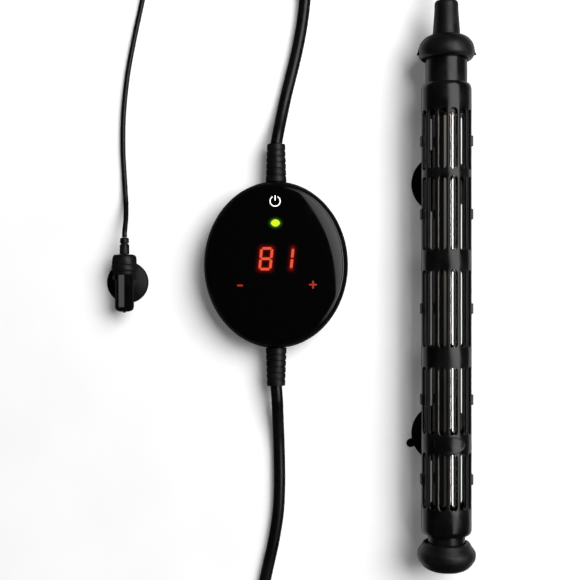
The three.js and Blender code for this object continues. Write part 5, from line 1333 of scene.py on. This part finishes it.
def lit_piece(name, strokes, finish, slot):
    """A piece made of strokes, with their glow kept as an attribute of its points."""
    shapes = [shape for shape, _ in strokes]
    thing = piece(name, shapes, finish, slot=slot, crease=80)
    glow = np.concatenate([glow for _, glow in strokes])
    where = KDTree(len(glow))
    for i, point in enumerate(np.concatenate([shape[0] for shape in shapes])):
        where.insert(point, i)
    where.balance()
    values = [glow[where.find(v.co)[1]] for v in thing.data.vertices]
    thing.data.attributes.new("glow", "FLOAT", "POINT").data.foreach_set("value", values)
    return thing


def segment_lines(middle, names):
    """Middle lines of a seven-segment digit's bars: a top, g middle, d bottom, f and e left, b and c right."""
    half_x, half_y = DIGIT_HALF
    short = 0.35
    corners = {
        "a": ((-half_x + short, half_y), (half_x - short, half_y)),
        "g": ((-half_x + short, 0), (half_x - short, 0)),
        "d": ((-half_x + short, -half_y), (half_x - short, -half_y)),
        "f": ((-half_x, half_y - short), (-half_x, short)),
        "e": ((-half_x, -short), (-half_x, -half_y + short)),
        "b": ((half_x, half_y - short), (half_x, short)),
        "c": ((half_x, -short), (half_x, -half_y + short)),
    }
    lines = np.array([corners[name] for name in names], float)
    lines[..., 0] += DIGIT_SLANT * lines[..., 1]
    return lines + np.asarray(middle, float)


DIGIT_LINES = (((-6.6, 3.75), "abcdefg"), ((7.2, 3.95), "bc"))
LAMP_PLACE = (-0.3, 27.4)
POWER_PLACE = (-0.5, 41.9)
MINUS_PLACE = (-23.7, -13.9)
PLUS_PLACE = (24.5, -13.4)
MARK_HALF = 0.65  # half widths of the strokes
POWER_HALF = 0.34


def away_from_lines(x, y, lines):
    """Distance of points from the nearest of a set of line segments."""
    nearest = np.full(np.shape(x), np.inf)
    for (x0, y0), (x1, y1) in lines:
        run_x, run_y = x1 - x0, y1 - y0
        along = np.clip(((x - x0) * run_x + (y - y0) * run_y) / (run_x**2 + run_y**2), 0, 1)
        nearest = np.minimum(nearest, np.hypot(x - x0 - along * run_x, y - y0 - along * run_y))
    return nearest


class AQUA_OT_face(Operator):
    """Makes the gloss face with its power mark, status lamp, red display figures and key marks"""

    bl_idname = "aqua.face"
    bl_label = "Face"

    def execute(self, context):
        edge = controller_sizes().rim_width / MM + 0.3
        lines = np.concatenate([segment_lines(middle, names) for middle, names in DIGIT_LINES])
        self.panel(edge, lines)
        half = controller_sizes().segment_width / MM / 2
        red = tuple(colours().digits)
        bars = [ribbon(line, half) for line in lines]
        lit_piece("display_figures", bars, lit("lit_figures", red, (0.35, 0.008, 0.004)), "led_green")
        dim = lit("lit_key_marks", (0.46, 0.03, 0.018), (0.16, 0.004, 0.004))
        x, y = MINUS_PLACE
        lit_piece("minus_mark", [ribbon([(x - 2, y), (x + 2, y)], MARK_HALF)], dim, "led_green")
        x, y = PLUS_PLACE
        cross = [ribbon([(x - 2.7, y), (x + 2.7, y)], MARK_HALF), ribbon([(x, y - 2.7), (x, y + 2.7)], MARK_HALF)]
        lit_piece("plus_mark", cross, dim, "led_green")
        x, y = POWER_PLACE
        a = np.radians(np.linspace(119, 421, 60))
        bow = np.stack([x + 3.35 * np.cos(a), y + 3.35 * np.sin(a)], axis=1)
        mark = [ribbon(bow, POWER_HALF, 80), ribbon([(x, y + 0.3), (x, y + 3.9)], POWER_HALF)]
        lit_piece("power_mark", mark, white_print_painted_glow(), "panel_gloss")
        self.lamp()
        return {"FINISHED"}

    @staticmethod
    def panel(edge, lines):
        """The domed face with a rounded border. Its halo attributes fall off with the distance from the lit
        figures and from the lamp."""
        share = np.concatenate([np.linspace(0.004, 0.9, 110), np.linspace(0.91, 0.995, 16), [1, 1, 1]])[::-1]
        a = np.linspace(0, 2 * np.pi, 300, endpoint=False)
        x = share[:, None] * (HALF_WIDTH - edge) * np.cos(a)
        y = share[:, None] * (HALF_LENGTH - edge) * np.sin(a)
        z = face_height(x, y)
        z[:3] += np.array([-1.5, -0.25, -0.04])[:, None]
        x[2] *= 0.999
        y[2] *= 0.999
        shape = grid(on_controller(x * MM, y * MM, z * MM), close_ends=True)
        thing = piece("gloss_face", [shape], face_finish(), slot="panel_gloss", nodes=["face_panel"], crease=50)
        places = np.empty(len(thing.data.vertices) * 3)
        thing.data.vertices.foreach_get("co", places)
        place = places.reshape(-1, 3) / MM - [CONTROLLER_X / MM, CONTROLLER_Y / MM, 0]
        red = np.exp(-((away_from_lines(place[:, 0], place[:, 1], lines) / 1.4) ** 1.6))
        lamp_x, lamp_y = LAMP_PLACE
        green = np.exp(-((np.hypot((place[:, 0] - lamp_x) / 1.25, place[:, 1] - lamp_y) / 2.6) ** 3))
        for name, values in (("red_halo", red), ("green_halo", green)):
            thing.data.attributes.new(name, "FLOAT", "POINT").data.foreach_set("value", values)

    @staticmethod
    def lamp():
        """The status lamp's lens: a pointed oval, with a glow that fades towards its rim."""
        x0, y0 = LAMP_PLACE
        share = np.array([1, 1, 0.97, 0.9, 0.75, 0.6, 0.45, 0.3, 0.15, 0.02])
        lift = np.array([-0.1, 0.02, 0.05, 0.06, 0.06, 0.06, 0.06, 0.06, 0.06, 0.06])
        a = np.linspace(0, 2 * np.pi, 64, endpoint=False)
        x = x0 + share[:, None] * 3.3 * np.cos(a)
        y = y0 + share[:, None] * 2.6 * np.sin(a) * np.abs(np.sin(a)) ** 0.35
        points = on_controller(x * MM, y * MM, (face_height(x, y) + lift[:, None]) * MM)
        glow = np.repeat(np.clip((1 - share) * 2.6, 0, 1), 64)
        shape = grid(points, close_ends=True)
        glow = np.concatenate([np.zeros(64), glow, np.ones(64)])
        finish = lit("lit_lamp", tuple(colours().lamp), (0.06, 0.5, 0.01))
        lit_piece("status_lamp", [(shape, glow)], finish, "led_green")


def face_finish():
    """The face: flawless black gloss over the display's window, which glows round the lit figures and lamp."""

    def make():
        f = Finish("face_gloss", tuple(colours().gloss), 0.05)
        f.set("Specular IOR Level", 0.9 * SHEEN)
        f.link(f.between(f.noise(11, 3), 0.3, 0.7, 0.035, 0.07), f.shader.inputs["Roughness"])
        specks = f.between(f.noise(0.45, 1, offset=7.7), 0.74, 0.82)
        f.link(
            f.blend(f.calculate("MULTIPLY", specks, 0.05), tuple(colours().gloss), (0.3, 0.3, 0.3)),
            f.shader.inputs["Base Color"],
        )
        f.bump(f.noise(18, 1, offset=2.5), 0.01)
        red = f.add("ShaderNodeAttribute", attribute_name="red_halo").outputs["Fac"]
        green = f.add("ShaderNodeAttribute", attribute_name="green_halo").outputs["Fac"]
        tone = f.blend(f.between(green, 0.0, 0.04), (1.0, 0.02, 0.01), (0.12, 1.0, 0.02))
        f.link(tone, f.shader.inputs["Emission Color"])
        glow = f.calculate("ADD", f.calculate("MULTIPLY", red, 0.2), f.calculate("MULTIPLY", green, 0.3))
        f.link(glow, f.shader.inputs["Emission Strength"])
        return f

    return finish_named("face_gloss", make)


# ---- Probe ---------------------------------------------------------------------------------------------------
class AQUA_OT_probe(Operator):
    """Makes the temperature probe: sleeve, head, lead relief and the clip that holds it on its cup"""

    bl_idname = "aqua.probe"
    bl_label = "Probe"

    def execute(self, context):
        axis = (PROBE_X, PROBE_Y, PROBE_Z)
        radius, bore, top, end = 6.35, 5.25, 10.1, -19.9
        tip = [(1.02, end + 0.02), (0.55 * radius, end + 0.3), (0.88 * radius, end + 1.4), (radius, end + 3.4)]
        sleeve = np.concatenate(
            [
                [(0, end - 0.7), (0.6, end - 0.62), (0.95, end - 0.3)],
                spline(tip, 20),
                [(radius, top), (bore, top), (bore, end + 2.2), (0.7 * bore, end + 1.1), (0, end + 1.1)],
            ]
        )
        tube_part = lathe(sleeve, axis, segments=72)
        gloss, slot = gloss_housing(), "housing_plastic"
        lit_apart(piece("probe_tube", [tube_part], gloss, ROOT, slot, ["probe_sleeve"], crease=40), "probe_only")
        low, wide = 4.9, 8.6
        high = low + 13.7
        head = [
            (6.65, low + 0.2), (6.85, low), (wide - 1.5, low), (wide - 1.15, low + 0.3),
            (wide - 1.0, low + 0.9), (wide - 0.85, low + 2.3), (wide - 0.2, low + 2.9), (wide, low + 3.5),
            (wide, low + 6.1), (wide - 0.2, low + 6.5), (wide - 0.5, low + 6.8), (wide - 0.3, low + 7.3),
            (wide - 0.6, high - 2.3), (wide - 0.85, high - 1.3), (wide - 1.4, high - 0.6),
            (wide - 2.2, high - 0.15), (wide - 3, high), (2.25, high), (2.25, top + 0.3), (6.65, top + 0.3),
        ]
        cap_part = lathe(head, axis, segments=72, closed=True)
        piece("probe_cap", [cap_part], rubber(), slot="rubber", nodes=["probe_head"], crease=40)
        low = high + 0.3
        groove = low + 6.38
        relief = [
            (1.5, low - 4), (1.95, low - 4), (1.95, low), (3.05, low), (3.25, low + 0.2), (3.2, groove - 0.25),
            (3.05, groove), (2.5, groove + 0.25), (2.45, groove + 0.9), (2.95, groove + 1.3),
            (3.1, groove + 1.6), (2.9, low + 10.2), (2.65, low + 10.8), (2.2, low + 11), (1.95, low + 10.9),
            (1.9, low + 10.2),
        ]
        piece(
            "probe_lead_relief",
            [lathe(relief, axis, segments=48, closed=True)],
            rubber(),
            slot="rubber",
            nodes=["probe_strain_relief"],
            crease=40,
        )
        self.clip(axis)
        return {"FINISHED"}

    @staticmethod
    def clip(axis):
        """The clip's ring: a rounded flat band along an arc open on top, with flared lips, over a round boss."""
        inner, thickness, low, high, mouth = 6.65, 1.4, 1.4, 4.6, 100
        a = np.radians(np.linspace(90 + mouth / 2 - 4, 450 - mouth / 2 + 4, 90))
        share = np.linspace(-1, 1, 90)
        flare = 0.9 * np.clip((np.abs(share) - 0.93) / 0.07, 0, 1) ** 1.5
        radius = (inner + thickness / 2 + flare) * MM
        middle = np.full(90, axis[1] + (low + high) / 2 * MM)
        path = np.stack([axis[0] + radius * np.cos(a), middle, axis[2] + radius * np.sin(a)], axis=1)
        up = np.stack([np.cos(a), 0 * a, np.sin(a)], axis=1)
        side = np.broadcast_to([0, 1.0, 0], (90, 3))
        band = sweep(path, round_rectangle(high - low, thickness, 0.4, 4), side, up)
        boss = [(2.3, 4.7), (2.4, 4.6), (4, 4.6), (4.3, 4.9), (4.3, 8.6)]
        boss += [(4.1, 9.1), (3.5, 9.1), (3.3, 8.8), (3.3, 6), (2.3, 6)]
        parts = [band, lathe(boss, (axis[0], axis[1], 0), "Z", 48, closed=True)]
        piece("probe_cradle", parts, smooth_plastic(), body="clip", nodes=["probe_clip"], crease=40)


# ---- Inner parts keep their CAD shape and get their finishes --------------------------------------------------
class AQUA_OT_inner(Operator):
    """Gives the element, board and small parts inside their finishes"""

    bl_idname = "aqua.inner"
    bl_label = "Inner parts"

    def execute(self, context):
        ceramic = painted("white_ceramic", (0.72, 0.7, 0.64), 0.55, 0.3, 0.02)
        steel = metal("plain_steel", (0.55, 0.56, 0.57), 0.26)
        brass = metal("plain_brass", (0.62, 0.46, 0.18), 0.24)
        silicone = painted("red_silicone", (0.3, 0.07, 0.045), 0.5, 0.6, 0.02)
        black = painted("component_black", (0.012, 0.012, 0.013), 0.42, 0.25, 0.015)
        finishes = {
            "element_core": ceramic,
            "element_winding": self.winding(),
            "element_end_bush": ceramic,
            "thermal_fuse": brass,
            "tube_seal": silicone,
            "tube_sealing_ring": rubber(),
            "gasket_strip_left": rubber(),
            "gasket_strip_right": rubber(),
            "housing_screw_left": steel,
            "housing_screw_right": steel,
            "main_board": board(),
            "display_module": black,
            "status_led": painted("led_lens", (0.25, 0.6, 0.2), 0.12, 2, 0.001),
            "microcontroller": black,
            "power_transformer": painted("transformer_tape", (0.62, 0.42, 0.06), 0.4, 3, 0.02),
            "relay": painted("relay_blue", (0.02, 0.09, 0.36), 0.32, 0.6, 0.01),
            "filter_capacitor": black,
            "cartridge_fuse": painted("fuse_glass", (0.5, 0.53, 0.5), 0.1, 2, 0.002),
            "probe_potting": silicone,
            "thermistor_bead": ceramic,
        }
        for key in ("power", "minus", "plus"):
            finishes[f"key_switch_{key}"] = black
            finishes[f"key_plunger_{key}"] = black
        for name, finish in finishes.items():
            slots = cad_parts[name].material_slots
            if not slots:
                raise RuntimeError(f"{name} has no material slot")
            for slot in slots:
                slot.material = finish
        return {"FINISHED"}

    @staticmethod
    def winding():
        """Close-wound resistance wire: rings along the element at the wire's pitch."""
        f = Finish("resistance_wire", (0.3, 0.28, 0.25), 0.34, 1.0)
        split = f.add("ShaderNodeSeparateXYZ")
        f.link(f.place, split.inputs[0])
        pitch = 1.2 * MM
        turn = f.calculate("SINE", f.calculate("MULTIPLY", split.outputs["Y"], 2 * np.pi / pitch), 0)
        f.bump(turn, 0.3)
        f.link(f.between(turn, -1, 0.4, 0.6, 0.3), f.shader.inputs["Roughness"])
        return f.material


# ---- Studio --------------------------------------------------------------------------------------------------
CAMERA_PLACE = (1.15, -2.6, 697)
CAMERA_LENS = 63
DOWN_THE_VIEW = Vector((0, -1, 0))
# Softboxes: middle, direction of the first side, direction across it, lengths of the two sides
KEY_LIGHT = (Vector((0.78, 0.46, 1.33)), Vector((0.51, -0.86, 0)), (1.25, 1.08))
SHEEN_ACROSS = Vector((0.794, 0.345, -0.5))
SHEEN_LIGHT = (Vector((0.396, 0.086, 0.533)), Vector((0.398, -0.917, 0)), SHEEN_ACROSS, (0.87, 0.5))
FILL_LIGHT = (Vector((-0.03, 0.12, 0.67)), DOWN_THE_VIEW, Vector((0.94, 0, 0.34)), (1.3, 0.36))
STRIP_LIGHT = (Vector((0.455, 0, 0.53)), DOWN_THE_VIEW, Vector((0.8, 0, -0.6)), (1.8, 0.18))
PROBE_LIGHT = (Vector((-0.46, 0, 0.62)), DOWN_THE_VIEW, Vector((0.87, 0, 0.5)), (0.6, 1))
# Strips on the floor: name, inner and outer edge, place where the light is full
FLOOR_GLINTS = (("glint_left", 0.08, -0.05, 0.065), ("glint_right", 0.118, 0.21, 0.165))
GLINT_LENGTH = 0.44
GLINT_HEIGHT = 0.002
FLOOR_REACH = 3.0
FLOOR_IN_GLOSS = (0.05, 0.05, 0.05)
ROOM = (0.03, 0.03, 0.031, 1)
ROOM_IN_GLOSS = (0.008, 0.008, 0.008, 1)
WHITE = (1, 1, 1, 1)


def lit_apart(thing, group):
    """Gives a bright round piece the group's own softboxes in place of the highlight of the others."""
    bpy.data.collections[group].objects.link(thing)
    others = bpy.data.collections["all_others"]
    others.objects.link(thing)
    others.collection_objects[-1].light_linking.link_state = "EXCLUDE"


class AQUA_OT_stage(Operator):
    """Makes the camera, the pale floor, the key light with its highlight, and the lamps that one group of pieces
    mirrors: a fill and a strip for the tube, a panel for the probe and two strips for the heater"""

    bl_idname = "aqua.stage"
    bl_label = "Studio"

    def execute(self, context):
        settings = context.scene.aqua_studio
        camera = bpy.data.objects.new("camera", bpy.data.cameras.new("camera"))
        camera.location = Vector(CAMERA_PLACE) * MM
        camera.data.lens = CAMERA_LENS
        camera.data.sensor_width = 36
        camera.data.clip_start = 0.01
        context.scene.collection.objects.link(camera)
        context.scene.camera = camera
        high, level, size = KEY_LIGHT
        self.softbox("key_light", high, level, high.cross(level), size, settings.key_radiance, "visible_glossy")
        all_others, tube_only, probe_only, heater_only = (
            bpy.data.collections.new(name) for name in ("all_others", "tube_only", "probe_only", "heater_only")
        )
        sheen = self.softbox("key_highlight", *SHEEN_LIGHT, settings.highlight, "visible_diffuse", all_others)
        outward = SHEEN_ACROSS.normalized()
        middle = SHEEN_LIGHT[0].dot(outward)
        self.grade(sheen, outward, middle - 0.25, middle - 0.1, 0.36)
        fill = self.softbox("fill_light", *FILL_LIGHT, settings.fill, None, tube_only)
        self.grade(fill, -DOWN_THE_VIEW, -0.15, 0.3, 0.12)
        self.softbox("strip_light", *STRIP_LIGHT, settings.strip, None, tube_only)
        self.softbox("probe_light", *PROBE_LIGHT, settings.probe, None, probe_only)
        self.floor_glints(settings.glint, heater_only)
        self.floor(settings.floor_lift)
        self.world()
        context.scene.view_settings.view_transform = "Standard"
        return {"FINISHED"}

    @staticmethod
    def softbox(name, middle, along, across, size, radiance, hidden_from=None, receivers=None):
        """A rectangle of light with its two sides' directions. Its power is its radiance times pi times its area.
        The rays that hidden_from names don't see it. It reaches only the receivers, if they are given."""
        light = bpy.data.lights.new(name, "AREA")
        light.shape = "RECTANGLE"
        light.size, light.size_y = size
        light.energy = radiance * np.pi * size[0] * size[1]
        lamp = bpy.data.objects.new(name, light)
        x = along.normalized()
        z = x.cross(across).normalized()
        lamp.matrix_world = Matrix.Translation(middle) @ Matrix((x, z.cross(x), z)).transposed().to_4x4()
        lamp.visible_camera = False
        if hidden_from:
            setattr(lamp, hidden_from, False)
        if receivers:
            lamp.light_linking.receiver_collection = receivers
        bpy.context.scene.collection.objects.link(lamp)
        return lamp

    @staticmethod
    def grade(lamp, direction, low, high, share):
        """Dims a softbox towards one side: its light rises from share at the place low to 1 at high."""
        lamp.data.use_nodes = True
        tree = lamp.data.node_tree
        run = tree.nodes.new("ShaderNodeVectorMath")
        run.operation = "DOT_PRODUCT"
        run.inputs[1].default_value = direction
        ramp = tree.nodes.new("ShaderNodeMapRange")
        for socket, value in (("From Min", low), ("From Max", high), ("To Min", share), ("To Max", 1.0)):
            ramp.inputs[socket].default_value = value
        tree.links.new(tree.nodes.new("ShaderNodeNewGeometry").outputs["Position"], run.inputs[0])
        tree.links.new(run.outputs["Value"], ramp.inputs["Value"])
        tree.links.new(ramp.outputs["Result"], tree.nodes["Emission"].inputs["Strength"])

    def floor_glints(self, radiance, heater_only):
        """Two graded strips of light on the floor, one each side of the heater, that only its gloss mirrors."""
        for name, inner, outer, full in FLOOR_GLINTS:
            middle = Vector(((inner + outer) / 2, 0, GLINT_HEIGHT))
            size = (GLINT_LENGTH, abs(inner - outer))
            across = Vector((-1, 0, 0))
            strip = self.softbox(
                name, middle, DOWN_THE_VIEW, across, size, radiance, "visible_diffuse", heater_only
            )
            inward = np.sign(inner - outer)
            self.grade(strip, Vector((inward, 0, 0)), inward * outer, inward * full, 0)

    @staticmethod
    def floor(lift):
        """A wide matte sheet, dim in reflections. A pale glow that only the camera sees brings it to the white of
        the background further out."""
        mesh = bpy.data.meshes.new("floor")
        corners = [(x * FLOOR_REACH, y * FLOOR_REACH, 0) for x, y in ((-1, -1), (1, -1), (1, 1), (-1, 1))]
        mesh.from_pydata(corners, [], [(0, 1, 2, 3)])
        f = Finish("floor_paper", (0.88, 0.88, 0.88), 0.9)
        f.set("Specular IOR Level", 0.0)
        paper = f.blend(f.between(f.noise(60, 2), 0.3, 0.7), (0.87, 0.87, 0.87), (0.9, 0.9, 0.9))
        path = f.add("ShaderNodeLightPath")
        f.link(f.blend(path.outputs["Is Glossy Ray"], paper, FLOOR_IN_GLOSS), f.shader.inputs["Base Color"])
        f.set("Emission Color", WHITE)
        away = f.add("ShaderNodeVectorMath", operation="LENGTH")
        f.link(f.place, away.inputs[0])
        glow = f.between(away.outputs["Value"], 0.12, 1.1, lift, 1.0)
        seen = f.calculate("MULTIPLY", path.outputs["Is Camera Ray"], glow)
        f.link(seen, f.shader.inputs["Emission Strength"])
        mesh.materials.append(f.material)
        thing = bpy.data.objects.new("floor", mesh)
        bpy.context.scene.collection.objects.link(thing)

    @staticmethod
    def world():
        """White for the camera, nearly black in reflections and a dim grey room for everything else."""
        world = bpy.data.worlds.new("studio")
        world.use_nodes = True
        tree = world.node_tree
        path = tree.nodes.new("ShaderNodeLightPath")
        gloss, camera = (tree.nodes.new("ShaderNodeMix") for _ in range(2))
        for mix, ray, tone in ((gloss, "Is Glossy Ray", ROOM_IN_GLOSS), (camera, "Is Camera Ray", WHITE)):
            mix.data_type = "RGBA"
            mix.inputs[7].default_value = tone
            tree.links.new(path.outputs[ray], mix.inputs["Factor"])
        gloss.inputs[6].default_value = ROOM
        tree.links.new(gloss.outputs[2], camera.inputs[6])
        tree.links.new(camera.outputs[2], tree.nodes["Background"].inputs["Color"])
        bpy.context.scene.world = world


# ---- Add-on --------------------------------------------------------------------------------------------------
PROPERTIES = (
    ("aqua_heater", HeaterSizes),
    ("aqua_controller", ControllerSizes),
    ("aqua_cords", CordSizes),
    ("aqua_colours", Colours),
    ("aqua_studio", StudioSettings),
)
OPERATORS = (
    AQUA_OT_stage,
    AQUA_OT_plug,
    AQUA_OT_cords,
    AQUA_OT_guard,
    AQUA_OT_tube,
    AQUA_OT_rubber,
    AQUA_OT_cups,
    AQUA_OT_housing,
    AQUA_OT_face,
    AQUA_OT_probe,
    AQUA_OT_inner,
)


class AQUA_PT_panel(Panel):
    """Lists the operators and the sizes that they read"""

    bl_idname = "AQUA_PT_panel"
    bl_label = "Aquarium Heater"
    bl_space_type = "VIEW_3D"
    bl_region_type = "UI"
    bl_category = "Aquarium Heater"

    def draw(self, context):
        for operator in OPERATORS:
            self.layout.operator(operator.bl_idname)
        for name, group in PROPERTIES:
            box = self.layout.box()
            for prop in group.__annotations__:
                box.prop(getattr(context.scene, name), prop)


def register():
    for _, group in PROPERTIES:
        bpy.utils.register_class(group)
    for name, group in PROPERTIES:
        setattr(bpy.types.Scene, name, PointerProperty(type=group))
    for operator in (*OPERATORS, AQUA_PT_panel):
        bpy.utils.register_class(operator)


def unregister():
    for operator in (AQUA_PT_panel, *reversed(OPERATORS)):
        bpy.utils.unregister_class(operator)
    for name, group in reversed(PROPERTIES):
        delattr(bpy.types.Scene, name)
        bpy.utils.unregister_class(group)


def main():
    register()
    for operator in OPERATORS:
        group, name = operator.bl_idname.split(".")
        getattr(getattr(bpy.ops, group), name)()


if __name__ == "__main__":
    main()
